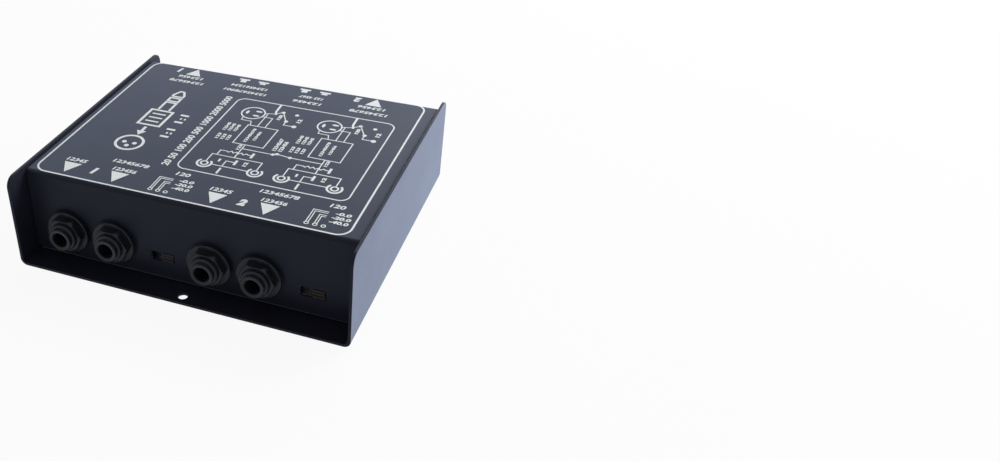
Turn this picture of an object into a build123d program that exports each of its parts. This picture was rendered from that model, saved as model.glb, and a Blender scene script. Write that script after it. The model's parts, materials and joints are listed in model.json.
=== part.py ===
"""Two-channel passive direct injection box.

A folded steel tray carries one circuit board with the jacks, pad switches, transformers, output
connectors and push switches. A folded cover closes it from above and is screwed on from below.

Millimetres. X runs across the box, to the right when the jack panel is faced. Y runs from the jack
panel (-Y) to the output panel (+Y), and Z is up. The origin is under the middle of the box, on the
surface that the rubber feet stand on.
"""

import os

from build123d import *

# ---------------------------------------------------------------- case
CASE_WIDTH = 145.0  # over the tray's side flanges
CASE_DEPTH = 128.0  # front lip to rear lip
FLANGE_HEIGHT = 41.5  # tray underside to the top of its side flanges
SHEET = 1.2  # steel sheet of tray and cover
TRAY_BEND = 3.0  # outer bend radius, floor to flange
FLANGE_CORNER = 4.5  # rounded upper corners of the flanges
COVER_BEND = 2.0  # outer bend radius of the cover
COVER_DROP = 1.2  # cover's top below the flange tops
COVER_SIDE_GAP = 0.8  # cover edge to flange, each side
COVER_RETURN = 12.0  # inward tabs of the cover that lie on the floor
COVER_NOTCH_GAP = 0.3  # cover's lower corners to the tray's inner bends
FRONT_LIP = 11.0  # tray floor in front of the jack panel
REAR_LIP = 7.0  # tray floor behind the output panel
LIP_HOLE_R = 2.0  # fixing hole in each lip
LIP_HOLE_INSET = 4.0  # hole centre to the lip's edge
LIP_HOLE_X = 1.2  # a little right of the middle

FOOT_R = 6.0
FOOT_HEIGHT = 2.5
FOOT_INSET = 12.0  # foot centre to the tray's edges
FOOT_CHAMFER = 0.6

CUT_PAST = 1.0  # cutting tools run this far past a sheet

# ---------------------------------------------------------------- fasteners
SCREW_R = 1.5
SCREW_HOLE_R = 1.65
THREAD_R = 1.55  # bore that a screw turns in
HEAD_R = 2.8
HEAD_HEIGHT = 1.7
HEAD_EDGE = 0.85  # rounded edge of a button head
DRIVE_R = 1.1  # recess in a screw head
DRIVE_DEPTH = 0.8
NUT_FLATS = 5.5
NUT_HEIGHT = 2.4
COVER_SCREW_STATIONS = (0.5, 4.5)  # midway between two front stations
COVER_SCREW_INSET = 8.5  # screw centre to the cover panel's outer face
CLINCH_NUT_R = 3.2
CLINCH_NUT_HEIGHT = 2.0
SCREW_PROUD = 0.3  # screw end past the nut it turns in
SCREW_TIP_GAP = 0.15  # screw end to the middle of a standoff

# ---------------------------------------------------------------- circuit board
BOARD_OVER_SCREWS = 0.5  # board's underside to the ends of the cover screws
STANDOFF_FLATS = 5.5
BOARD_THICK = 1.6
BOARD_SIDE_GAP = 3.3  # board edge to the flange's inner face
BOARD_FRONT_GAP = 0.5  # board edge to the jack panel's inner face
BOARD_REAR_GAP = 6.0  # board edge to the output panel's inner face
STANDOFF_EDGE = 3.5  # outer standoffs' centres to the board's side edges
STANDOFF_PAST_TABS = 4.0  # standoff centres to the ends of the cover's tabs
STANDOFF_PAST_JACKS = 4.5  # middle front standoff's centre to the back of the jacks
PIN_R = 0.4  # round solder pins
PIN_PROUD = 1.2  # pin end below the board
PIN_GAP = 0.15  # clearance round each pin

# ---------------------------------------------------------------- front stations
STATION_COUNT = 6  # jack, jack, switch, jack, jack, switch
COLLAR_SPACE = 2.3  # between neighbouring jack collars
JACK_STATIONS = {"input_a": 0, "link_a": 1, "input_b": 3, "link_b": 4}
PAD_STATIONS = {"pad_a": 2, "pad_b": 5}

JACK_Z = 17.5  # jack axis above the standing surface
JACK_BORE_R = 3.25  # takes a 6.35 mm plug
JACK_MOUTH_CHAMFER = 0.45
THREAD_OUTER_R = 5.9  # threaded bushing
THREAD_GROOVE = 0.35
THREAD_PITCH = 1.0
THREAD_END = 6.5  # end of the thread past the panel
NOSE_R = 4.9  # plain nose past the thread
NOSE_END = 8.4
NOSE_EDGE = 0.4
BUSHING_GAP = 0.05  # bushing in nut and collar
PANEL_HOLE_GAP = 0.15  # bushing in the panel hole
COLLAR_WIDTH = 3.6  # from the bushing to the collar's rim
COLLAR_THICK = 2.3
COLLAR_EDGE = 0.35
JACK_NUT_WALL = 1.1  # from the bushing to the nut's flats
JACK_NUT_THICK = 2.7
JACK_NUT_CHAMFER = 0.5
JACK_BODY_WIDTH = 15.6
JACK_BODY_DEPTH = 24.0
JACK_BODY_ABOVE = 7.6  # body top above the axis
JACK_WALL = 1.6
JACK_BODY_EDGE = 0.5
CONTACT_THICK = 0.4
CONTACT_WIDTH = 1.4
CONTACT_CLEAR = 0.35  # contact dimple to the plug's path
CONTACT_WALL_GAP = 0.15  # contact leg to the body's inner wall
CONTACT_FROM_REAR = {"tip": 3.6, "ring": 9.6, "sleeve": 17.5}
LEG_SLOT_GAP = 0.2

# ---------------------------------------------------------------- pad switches
PAD_Z = 14.8
PAD_SLOT_WIDTH = 10.7
PAD_SLOT_HEIGHT = 4.5
PAD_STEPS = 2  # three positions
PAD_STEP = 2.6
KNOB_END_GAP = 0.25  # knob to the slot's end at rest
KNOB_HEIGHT = 3.9
KNOB_PROUD = 0.7  # knob face past the panel
KNOB_RIB = 0.5
KNOB_RIB_COUNT = 2
PAD_FRAME_WIDTH = 19.0
PAD_FRAME_HEIGHT = 7.2
PAD_FRAME_DEPTH = 5.0
PAD_FRAME_THICK = 0.5
PAD_RUN_GAP = 0.15  # knob's carrier in its frame
CARRIER_DEPTH = 1.8
CARRIER_OVERHANG = 1.6  # carrier past the knob, each side
PAD_TAB_WIDTH = 1.6
PAD_PIN_COLUMNS = 4
PAD_PIN_PITCH = 3.0
PAD_PIN_ROWS = (1.2, 3.4)  # rows behind the frame

# ---------------------------------------------------------------- push switches
PUSH_X = {"mode": -15.0, "lift": 15.0}
PUSH_AXIS_ABOVE_BOARD = 5.0
PUSH_TRAVEL = 3.0
PUSH_CAP_R = 3.7
PUSH_HOLE_GAP = 0.4  # cap in the panel hole
PUSH_CAP_PROUD = 5.0
PUSH_CAP_INSIDE = 0.6  # cap's root behind the panel
PUSH_CAP_EDGE = 0.6
PUSH_SPARE = 0.5  # pressed cap to the switch body
PUSH_BODY_SIZE = 9.2
PUSH_BODY_DEPTH = 17.0
PUSH_WALL = 1.0
PLUNGER_SIZE = 3.6
PLUNGER_GAP = 0.15
PLUNGER_IN_CAP = 3.0
PLUNGER_INSIDE = 8.0  # plunger inside the body at rest
CAP_SOCKET_GAP = 0.04
PUSH_PIN_COLUMNS = 3
PUSH_PIN_PITCH = 4.0
PUSH_PIN_SPREAD = 5.0

# ---------------------------------------------------------------- output connectors
OUTPUT_X = {"output_a": -45.0, "output_b": 45.0}
OUTPUT_Z = 23.2
OUTPUT_FLANGE_WIDTH = 26.0
OUTPUT_FLANGE_HEIGHT = 31.0
OUTPUT_FLANGE_THICK = 2.0
OUTPUT_FLANGE_CORNER = 4.0
OUTPUT_RIM_R = 11.0
OUTPUT_RIM_THICK = 1.0
OUTPUT_RIM_EDGE = 0.35
OUTPUT_BARREL_R = 11.6
OUTPUT_BARREL_GAP = 0.4  # barrel in the panel cut-out
OUTPUT_BORE_R = 8.3
OUTPUT_DEPTH = 22.0  # barrel behind the panel's outer face
OUTPUT_KEY_WIDTH = 3.0
OUTPUT_KEY_DEPTH = 1.4
OUTPUT_SCREW_X = 9.5
OUTPUT_SCREW_Z = 12.0
INSERT_THICK = 6.0
INSERT_GAP = 0.05
CONTACT_PIN_R = 1.2
CONTACT_TIP_EDGE = 0.72  # rounded end of each pin
CONTACT_CIRCLE_R = 4.4
CONTACT_PIN_SHORT = 1.5  # pin tips behind the rim
CONTACT_TAIL = 1.6  # pin behind the insert

# ---------------------------------------------------------------- transformers
TRANSFORMER_X = {"transformer_a": -32.0, "transformer_b": 32.0}
CORE_WIDTH = 30.0
CORE_HEIGHT = 22.0
CORE_STACK = 12.0
CORE_LIMB = 5.0  # outer limbs and yokes
CENTRE_LIMB = 8.0
COIL_GAP = 0.1
BOBBIN_WALL = 0.9
BOBBIN_BASE = 3.0  # bobbin foot that stands on the board
WINDING_SPARE = 0.8  # bobbin flange past the winding
STRAP_THICK = 0.6
STRAP_WIDTH = 8.0
TRANSFORMER_PINS = 4
TRANSFORMER_PIN_PITCH = 5.0
TRANSFORMER_PIN_INSET = 1.5  # pin row to the edge of the bobbin's foot

# ---------------------------------------------------------------- board parts
RESISTOR_R = 1.15
RESISTOR_LENGTH = 6.4
RESISTOR_SPAN = 10.0
RESISTOR_LEAD_R = 0.3
RESISTOR_PITCH = 4.0
RESISTORS_PER_PAD = 5
RESISTOR_LIFT = 0.3
PAD_ROW_BEHIND = 16.0  # first resistor to the jack panel's inner face
CAPACITOR_R = 3.5
CAPACITOR_THICK = 2.6
CAPACITOR_PAST_SWITCH = 4.7  # capacitor's middle to the back of the push switches
CAPACITOR_X = 15.0
CAPACITOR_LEAD_X = 1.75  # leads, each side of the middle

# ---------------------------------------------------------------- worked out from the values above
tray_bottom = FOOT_HEIGHT
floor_top = tray_bottom + SHEET
flange_top = tray_bottom + FLANGE_HEIGHT
flange_inner = CASE_WIDTH / 2 - SHEET
tray_inner_bend = TRAY_BEND - SHEET
cover_half = flange_inner - COVER_SIDE_GAP
cover_top = flange_top - COVER_DROP
front_out = -CASE_DEPTH / 2 + FRONT_LIP
front_in = front_out + SHEET
rear_out = CASE_DEPTH / 2 - REAR_LIP
rear_in = rear_out - SHEET
tab_top = floor_top + SHEET
cover_screw_tip = tab_top + CLINCH_NUT_HEIGHT + SCREW_PROUD

board_bottom = cover_screw_tip + BOARD_OVER_SCREWS
board_top = board_bottom + BOARD_THICK
board_half = flange_inner - BOARD_SIDE_GAP
board_front = front_in + BOARD_FRONT_GAP
board_rear = rear_in - BOARD_REAR_GAP
pin_end = board_bottom - PIN_PROUD

push_z = board_top + PUSH_AXIS_ABOVE_BOARD
push_body_front = rear_in - PUSH_CAP_INSIDE - PUSH_TRAVEL - PUSH_SPARE
push_body_back = push_body_front - PUSH_BODY_DEPTH

pad_travel = PAD_STEP * PAD_STEPS
knob_width = PAD_SLOT_WIDTH - pad_travel - 2 * KNOB_END_GAP
pad_frame_back = front_in + PAD_FRAME_DEPTH
carrier_front = front_in + PAD_FRAME_THICK + PAD_RUN_GAP

collar_r = THREAD_OUTER_R + COLLAR_WIDTH
jack_nut_flats = 2 * (THREAD_OUTER_R + JACK_NUT_WALL)
station_pitch = 2 * collar_r + COLLAR_SPACE
jack_body_back = front_in + JACK_BODY_DEPTH
jack_body_top = JACK_Z + JACK_BODY_ABOVE
jack_cavity_half = JACK_BODY_WIDTH / 2 - JACK_WALL
jack_leg_x = jack_cavity_half - CONTACT_WALL_GAP - CONTACT_THICK / 2

output_back = rear_out - OUTPUT_DEPTH
insert_front = output_back + INSERT_THICK
output_mouth = rear_out + OUTPUT_FLANGE_THICK + OUTPUT_RIM_THICK
contact_tail_y = output_back - CONTACT_TAIL
transformer_y = (jack_body_back + contact_tail_y) / 2
capacitor_y = push_body_back - CAPACITOR_PAST_SWITCH

core_bottom = board_top + BOBBIN_BASE
core_top = core_bottom + CORE_HEIGHT
window_width = (CORE_WIDTH - CENTRE_LIMB - 2 * CORE_LIMB) / 2


# ---------------------------------------------------------------- helpers
def block(x0, x1, y0, y1, z0, z1):
    """Box between two corners."""
    return Pos((x0 + x1) / 2, (y0 + y1) / 2, (z0 + z1) / 2) * Box(x1 - x0, y1 - y0, z1 - z0)


def rod_x(y, z, radius, x0, x1):
    """Cylinder along X."""
    return Pos((x0 + x1) / 2, y, z) * Rot(0, 90, 0) * Cylinder(radius, x1 - x0)


def rod_y(x, z, radius, y0, y1):
    """Cylinder along Y."""
    return Pos(x, (y0 + y1) / 2, z) * Rot(90, 0, 0) * Cylinder(radius, y1 - y0)


def rod_z(x, y, radius, z0, z1):
    """Cylinder along Z."""
    return Pos(x, y, (z0 + z1) / 2) * Cylinder(radius, z1 - z0)


def hexagon_z(x, y, flats, z0, z1):
    """Hexagonal bar along Z, measured across its flats."""
    profile = RegularPolygon(flats / 2, 6, major_radius=False)
    return Pos(x, y, z0) * extrude(profile, z1 - z0)


def hexagon_y(x, z, flats, y0, y1):
    """Hexagonal bar along Y, measured across its flats."""
    profile = Plane.XZ * RegularPolygon(flats / 2, 6, major_radius=False)
    return Pos(x, y1, z) * extrude(profile, y1 - y0)


def circles_at(solid, axis, level):
    """Circular edges of a solid that lie at one level along an axis."""
    edges = solid.edges().filter_by(GeomType.CIRCLE)
    return edges.filter_by_position(axis, level - 0.01, level + 0.01)


def group(solids):
    """Several separate solids in one node."""
    return Compound(children=list(solids))


def station_x(index):
    """Centre of a front station, counted from the left."""
    return (index - (STATION_COUNT - 1) / 2) * station_pitch


def screw_up(x, y, seat, tip):
    """Button-head screw driven upwards, its head under the seat."""
    head = rod_z(x, y, HEAD_R, seat - HEAD_HEIGHT, seat)
    head = fillet(circles_at(head, Axis.Z, seat - HEAD_HEIGHT), HEAD_EDGE)
    recess = rod_z(x, y, DRIVE_R, seat - HEAD_HEIGHT, seat - HEAD_HEIGHT + DRIVE_DEPTH)
    return head + rod_z(x, y, SCREW_R, seat, tip) - recess


def screw_down(x, y, seat, tip):
    """Button-head screw driven downwards, its head on the seat."""
    head = rod_z(x, y, HEAD_R, seat, seat + HEAD_HEIGHT)
    head = fillet(circles_at(head, Axis.Z, seat + HEAD_HEIGHT), HEAD_EDGE)
    recess = rod_z(x, y, DRIVE_R, seat + HEAD_HEIGHT - DRIVE_DEPTH, seat + HEAD_HEIGHT)
    return head + rod_z(x, y, SCREW_R, tip, seat) - recess


# ---------------------------------------------------------------- places of repeated pieces
def foot_places():
    """Centres of the four rubber feet."""
    x = CASE_WIDTH / 2 - FOOT_INSET
    y = CASE_DEPTH / 2 - FOOT_INSET
    return [(sx * x, sy * y) for sx in (-1, 1) for sy in (-1, 1)]


def cover_screw_places():
    """Centres of the four screws that hold the cover's tabs to the floor."""
    rows = (front_out + COVER_SCREW_INSET, rear_out - COVER_SCREW_INSET)
    return [(station_x(index), y) for index in COVER_SCREW_STATIONS for y in rows]


def standoff_places():
    """Centres of the six standoffs under the board."""
    x = board_half - STANDOFF_EDGE
    front_y = front_out + COVER_RETURN + STANDOFF_PAST_TABS
    rear_y = rear_out - COVER_RETURN - STANDOFF_PAST_TABS
    front = [(-x, front_y), (x, front_y), (0, jack_body_back + STANDOFF_PAST_JACKS)]
    return front + [(side * x, rear_y) for side in (-1, 0, 1)]


def lip_hole_places():
    """Fixing holes in the front and rear lips."""
    y = CASE_DEPTH / 2 - LIP_HOLE_INSET
    return [(LIP_HOLE_X, -y), (LIP_HOLE_X, y)]


def contact_places(x):
    """Leg centres of one jack's three contacts, on alternate sides of the plug."""
    places = {}
    side = 1
    for name, setback in CONTACT_FROM_REAR.items():
        places[name] = (x + side * jack_leg_x, jack_body_back - setback, side)
        side = -side
    return places


def pad_pin_places(x):
    """Solder pins of one pad switch, in two rows behind its frame."""
    first = x - (PAD_PIN_COLUMNS - 1) / 2 * PAD_PIN_PITCH
    columns = [first + i * PAD_PIN_PITCH for i in range(PAD_PIN_COLUMNS)]
    return [(column, pad_frame_back + row) for column in columns for row in PAD_PIN_ROWS]


def push_pin_places(x):
    """Solder pins of one push switch, in two lines under its body."""
    middle = (push_body_front + push_body_back) / 2
    offsets = [(i - (PUSH_PIN_COLUMNS - 1) / 2) * PUSH_PIN_PITCH for i in range(PUSH_PIN_COLUMNS)]
    return [(x + side * PUSH_PIN_SPREAD / 2, middle + offset) for side in (-1, 1) for offset in offsets]


def output_pin_places(x):
    """Contact pins of one output connector: two level with the axis and one below it."""
    return [
        (x - CONTACT_CIRCLE_R, OUTPUT_Z),
        (x + CONTACT_CIRCLE_R, OUTPUT_Z),
        (x, OUTPUT_Z - CONTACT_CIRCLE_R),
    ]


def output_screw_places(x):
    """The two screws of one output connector, on a diagonal of its flange."""
    return [(x - OUTPUT_SCREW_X, OUTPUT_Z + OUTPUT_SCREW_Z), (x + OUTPUT_SCREW_X, OUTPUT_Z - OUTPUT_SCREW_Z)]


def coil_half_depth():
    """Half the depth of a transformer's bobbin flanges, along Y."""
    return CORE_STACK / 2 + window_width - COIL_GAP


def transformer_pin_places(x):
    """Solder pins of one transformer, in a row under each side of its bobbin foot."""
    row = coil_half_depth() - TRANSFORMER_PIN_INSET
    offsets = [(i - (TRANSFORMER_PINS - 1) / 2) * TRANSFORMER_PIN_PITCH for i in range(TRANSFORMER_PINS)]
    return [(x + offset, transformer_y + side * row) for side in (-1, 1) for offset in offsets]


def strap_tab_places(x):
    """Tabs of one transformer's strap."""
    offset = CORE_WIDTH / 2 + COIL_GAP + STRAP_THICK / 2
    return [(x - offset, transformer_y), (x + offset, transformer_y)]


def resistor_places():
    """Centres of the pad resistors, in a ladder behind each pad switch."""
    rows = [front_in + PAD_ROW_BEHIND + i * RESISTOR_PITCH for i in range(RESISTORS_PER_PAD)]
    return [(station_x(index), y) for index in PAD_STATIONS.values() for y in rows]


def resistor_lead_places():
    """Both leads of every resistor."""
    half = RESISTOR_SPAN / 2
    return [(x + side * half, y) for x, y in resistor_places() for side in (-1, 1)]


def capacitor_lead_places():
    """Both leads of each ground-lift capacitor."""
    places = [(x, side) for x in (-CAPACITOR_X, CAPACITOR_X) for side in (-1, 1)]
    return [(x + side * CAPACITOR_LEAD_X, capacitor_y) for x, side in places]


# ---------------------------------------------------------------- case pieces
def chassis_tray():
    """Floor and two side flanges, folded from one sheet."""
    half = CASE_WIDTH / 2
    outside = block(-half, half, -CASE_DEPTH / 2, CASE_DEPTH / 2, tray_bottom, flange_top)
    outside = fillet(outside.edges().filter_by(Axis.Y).group_by(Axis.Z)[0], TRAY_BEND)
    inside = block(-flange_inner, flange_inner, -CASE_DEPTH, CASE_DEPTH, floor_top, 2 * flange_top)
    inside = fillet(inside.edges().filter_by(Axis.Y).group_by(Axis.Z)[0], tray_inner_bend)
    tray = outside - inside
    tray = fillet(tray.edges().filter_by(Axis.X).group_by(Axis.Z)[-1], FLANGE_CORNER)
    spots = [(x, y, LIP_HOLE_R) for x, y in lip_hole_places()]
    spots += [(x, y, SCREW_HOLE_R) for x, y in cover_screw_places() + standoff_places()]
    return tray - [rod_z(x, y, radius, 0, 2 * floor_top) for x, y, radius in spots]


def top_cover():
    """Top, jack panel and output panel, folded from one sheet, with tabs that lie on the floor."""
    outside = block(-cover_half, cover_half, front_out, rear_out, floor_top, cover_top)
    outside = fillet(outside.edges().filter_by(Axis.X), COVER_BEND)
    inside = block(-CASE_WIDTH, CASE_WIDTH, front_in, rear_in, tab_top, cover_top - SHEET)
    inside = fillet(inside.edges().filter_by(Axis.X), COVER_BEND - SHEET)
    window = block(-CASE_WIDTH, CASE_WIDTH, front_out + COVER_RETURN, rear_out - COVER_RETURN, 0, tab_top)
    cover = outside - inside - window
    notch_x = flange_inner - tray_inner_bend - COVER_NOTCH_GAP
    notch_top = floor_top + tray_inner_bend + COVER_NOTCH_GAP
    sides = [(-CASE_WIDTH, -notch_x), (notch_x, CASE_WIDTH)]
    cover -= [block(x0, x1, front_out, rear_out, 0, notch_top) for x0, x1 in sides]
    cuts = [rod_z(x, y, SCREW_HOLE_R, 0, tab_top + CUT_PAST) for x, y in cover_screw_places()]
    for index in JACK_STATIONS.values():
        radius = THREAD_OUTER_R + PANEL_HOLE_GAP
        cuts.append(rod_y(station_x(index), JACK_Z, radius, front_out - CUT_PAST, front_in + CUT_PAST))
    for index in PAD_STATIONS.values():
        cuts.append(slot_space(station_x(index), front_out - CUT_PAST, front_in + CUT_PAST))
    for x in PUSH_X.values():
        cuts.append(rod_y(x, push_z, PUSH_CAP_R + PUSH_HOLE_GAP, rear_in - CUT_PAST, rear_out + CUT_PAST))
    for x in OUTPUT_X.values():
        radius = OUTPUT_BARREL_R + OUTPUT_BARREL_GAP
        cuts.append(rod_y(x, OUTPUT_Z, radius, rear_in - CUT_PAST, rear_out + CUT_PAST))
        for sx, sz in output_screw_places(x):
            cuts.append(rod_y(sx, sz, SCREW_HOLE_R, rear_in - CUT_PAST, rear_out + CUT_PAST))
    return cover - cuts


def slot_space(x, y0, y1):
    """Space of one pad switch's slot."""
    half = PAD_SLOT_WIDTH / 2
    return block(x - half, x + half, y0, y1, PAD_Z - PAD_SLOT_HEIGHT / 2, PAD_Z + PAD_SLOT_HEIGHT / 2)


def rubber_foot(x, y):
    """Stick-on foot with a bevelled lower edge."""
    foot = rod_z(x, y, FOOT_R, 0, tray_bottom)
    return chamfer(circles_at(foot, Axis.Z, 0), FOOT_CHAMFER)


def clinch_nut(x, y):
    """Nut fixed on the cover's tab, for the screw that comes up through the floor."""
    top = tab_top + CLINCH_NUT_HEIGHT
    return rod_z(x, y, CLINCH_NUT_R, tab_top, top) - rod_z(x, y, THREAD_R, tab_top, top)


def standoff(x, y):
    """Hexagonal spacer between floor and board."""
    return hexagon_z(x, y, STANDOFF_FLATS, floor_top, board_bottom) - rod_z(x, y, THREAD_R, 0, board_top)


def main_board():
    """Circuit board, with a hole for every pin and screw."""
    outline = Pos(0, (board_front + board_rear) / 2) * Rectangle(2 * board_half, board_rear - board_front)
    holes = [(x, y, SCREW_HOLE_R) for x, y in standoff_places()]
    round_pins = capacitor_lead_places()
    for index in PAD_STATIONS.values():
        round_pins += pad_pin_places(station_x(index))
        holes += [(x, y, PAD_TAB_WIDTH / 2 + PIN_GAP) for x, y in pad_tab_places(station_x(index))]
    for x in PUSH_X.values():
        round_pins += push_pin_places(x)
    for x in TRANSFORMER_X.values():
        round_pins += transformer_pin_places(x)
        holes += [(sx, sy, STRAP_WIDTH / 4 + PIN_GAP) for sx, sy in strap_tab_places(x)]
    for x in OUTPUT_X.values():
        holes += [(px, contact_tail_y, PIN_R + PIN_GAP) for px in output_tail_places(x)]
    for index in JACK_STATIONS.values():
        legs = contact_places(station_x(index)).values()
        holes += [(x, y, CONTACT_WIDTH / 2 + PIN_GAP) for x, y, side in legs]
    holes += [(x, y, PIN_R + PIN_GAP) for x, y in round_pins]
    holes += [(x, y, RESISTOR_LEAD_R + PIN_GAP) for x, y in resistor_lead_places()]
    outline = outline - [Pos(x, y) * Circle(radius) for x, y, radius in holes]
    return Pos(0, 0, board_bottom) * extrude(outline, BOARD_THICK)


# ---------------------------------------------------------------- jacks
def jack_body(x):
    """Moulded jack: a hollow housing behind the panel and a threaded bushing through it."""
    body = block(
        x - JACK_BODY_WIDTH / 2, x + JACK_BODY_WIDTH / 2, front_in, jack_body_back, board_top, jack_body_top
    )
    body = chamfer(body.edges().group_by(Axis.Z)[-1], JACK_BODY_EDGE)
    nose = rod_y(x, JACK_Z, NOSE_R, front_out - NOSE_END, front_in)
    nose = fillet(circles_at(nose, Axis.Y, front_out - NOSE_END), NOSE_EDGE)
    thread = rod_y(x, JACK_Z, THREAD_OUTER_R, front_out - THREAD_END, front_in)
    thread = chamfer(circles_at(thread, Axis.Y, front_out - THREAD_END), THREAD_GROOVE)
    grooves = []
    for turn in range(1, int((THREAD_END - THREAD_GROOVE) / THREAD_PITCH)):
        y = front_out - THREAD_END + turn * THREAD_PITCH
        ring = rod_y(x, JACK_Z, 2 * THREAD_OUTER_R, y, y + THREAD_GROOVE)
        grooves.append(ring - rod_y(x, JACK_Z, THREAD_OUTER_R - THREAD_GROOVE, y, y + THREAD_GROOVE))
    cavity = block(
        x - jack_cavity_half,
        x + jack_cavity_half,
        front_in + JACK_WALL,
        jack_body_back - JACK_WALL,
        board_top + JACK_WALL,
        jack_body_top - JACK_WALL,
    )
    bore = rod_y(x, JACK_Z, JACK_BORE_R, front_out - NOSE_END, front_in + 2 * JACK_WALL)
    jack = (body + (thread - grooves) + nose) - cavity - bore
    mouth = circles_at(jack, Axis.Y, front_out - NOSE_END).sort_by(SortBy.RADIUS)[0]
    jack = chamfer(mouth, JACK_MOUTH_CHAMFER)
    slots = []
    for leg_x, leg_y, side in contact_places(x).values():
        across = CONTACT_THICK / 2 + LEG_SLOT_GAP
        along = CONTACT_WIDTH / 2 + LEG_SLOT_GAP
        slot_top = board_top + 2 * JACK_WALL
        slots.append(block(leg_x - across, leg_x + across, leg_y - along, leg_y + along, 0, slot_top))
    return jack - slots


def jack_contact(x, leg_x, leg_y, side):
    """Sprung contact: a leg through the board and an arm over the plug, with a dimple."""
    arm_bottom = JACK_Z + JACK_BORE_R + CONTACT_CLEAR + CONTACT_THICK
    arm_top = arm_bottom + CONTACT_THICK
    low = leg_y - CONTACT_WIDTH / 2
    high = leg_y + CONTACT_WIDTH / 2
    leg = block(leg_x - CONTACT_THICK / 2, leg_x + CONTACT_THICK / 2, low, high, pin_end, arm_top)
    outer = leg_x + side * CONTACT_THICK / 2
    inner = x - side * CONTACT_WIDTH
    arm = block(min(outer, inner), max(outer, inner), low, high, arm_bottom, arm_top)
    dimple = rod_y(x, arm_bottom, CONTACT_THICK, low, high)
    return leg + arm + dimple


def jack_contacts(x):
    """Tip, ring and sleeve contacts of one jack."""
    return group(jack_contact(x, *place) for place in contact_places(x).values())


def jack_collar(x):
    """Round collar between the nut and the panel."""
    front = front_out - COLLAR_THICK
    collar = rod_y(x, JACK_Z, collar_r, front, front_out)
    collar = fillet(circles_at(collar, Axis.Y, front), COLLAR_EDGE)
    return collar - rod_y(x, JACK_Z, THREAD_OUTER_R + BUSHING_GAP, front, front_out)


def jack_nut(x):
    """Hexagonal nut with its front corners turned off."""
    back = front_out - COLLAR_THICK
    front = back - JACK_NUT_THICK
    corner_r = jack_nut_flats / 3**0.5
    envelope = rod_y(x, JACK_Z, corner_r, front, back)
    envelope = chamfer(circles_at(envelope, Axis.Y, front), JACK_NUT_CHAMFER, 2 * JACK_NUT_CHAMFER)
    nut = hexagon_y(x, JACK_Z, jack_nut_flats, front, back) & envelope
    return nut - rod_y(x, JACK_Z, THREAD_OUTER_R + BUSHING_GAP, front, back)


# ---------------------------------------------------------------- pad switches
def pad_tab_places(x):
    """Solder tabs at both ends of one pad switch's frame."""
    offset = PAD_FRAME_WIDTH / 2 - PAD_FRAME_THICK / 2
    y = front_in + PAD_FRAME_DEPTH / 2
    return [(x - offset, y), (x + offset, y)]


def pad_frame(x):
    """Steel channel round the switch, with a slot for the knob and two solder tabs."""
    half = PAD_FRAME_WIDTH / 2
    low = PAD_Z - PAD_FRAME_HEIGHT / 2
    high = PAD_Z + PAD_FRAME_HEIGHT / 2
    shell = block(x - half, x + half, front_in, pad_frame_back, low, high)
    inner = half - PAD_FRAME_THICK
    hollow = block(
        x - inner,
        x + inner,
        front_in + PAD_FRAME_THICK,
        pad_frame_back,
        low + PAD_FRAME_THICK,
        high - PAD_FRAME_THICK,
    )
    frame = shell - hollow - slot_space(x, front_in, front_in + PAD_FRAME_THICK)
    for tab_x, tab_y in pad_tab_places(x):
        tab = block(
            tab_x - PAD_FRAME_THICK / 2,
            tab_x + PAD_FRAME_THICK / 2,
            tab_y - PAD_TAB_WIDTH / 2,
            tab_y + PAD_TAB_WIDTH / 2,
            pin_end,
            low,
        )
        frame += tab
    return frame


def pad_base(x):
    """Insulating block that closes the back of the frame and carries the pins."""
    half = PAD_FRAME_WIDTH / 2 - PAD_FRAME_THICK
    low = PAD_Z - PAD_FRAME_HEIGHT / 2 + PAD_FRAME_THICK
    high = PAD_Z + PAD_FRAME_HEIGHT / 2 - PAD_FRAME_THICK
    front = carrier_front + CARRIER_DEPTH + PAD_RUN_GAP
    plug = block(x - half, x + half, front, pad_frame_back, low, high)
    shelf_back = pad_frame_back + max(PAD_PIN_ROWS) + 2 * PIN_R
    shelf = block(x - half, x + half, pad_frame_back, shelf_back, low, high)
    holes = [rod_z(px, py, PIN_R + PIN_GAP, 0, PAD_Z) for px, py in pad_pin_places(x)]
    return plug + shelf - holes


def pad_pins(x):
    """Solder pins of one pad switch."""
    return group(rod_z(px, py, PIN_R, pin_end, PAD_Z) for px, py in pad_pin_places(x))


def pad_knob(x):
    """Knob and carrier, at the right-hand end of the slot."""
    right = x + PAD_SLOT_WIDTH / 2 - KNOB_END_GAP
    left = right - knob_width
    half = KNOB_HEIGHT / 2
    face = front_out - KNOB_PROUD
    knob = block(left, right, face, carrier_front, PAD_Z - half, PAD_Z + half)
    carrier_half = PAD_FRAME_HEIGHT / 2 - PAD_FRAME_THICK - PAD_RUN_GAP
    carrier = block(
        left - CARRIER_OVERHANG,
        right + CARRIER_OVERHANG,
        carrier_front,
        carrier_front + CARRIER_DEPTH,
        PAD_Z - carrier_half,
        PAD_Z + carrier_half,
    )
    spaces = KNOB_RIB_COUNT + 1
    space = (KNOB_HEIGHT - KNOB_RIB_COUNT * KNOB_RIB) / spaces
    grooves = []
    for i in range(spaces):
        bottom = PAD_Z - half + i * (space + KNOB_RIB)
        grooves.append(block(left, right, face, face + KNOB_RIB, bottom, bottom + space))
    return knob + carrier - grooves


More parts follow.
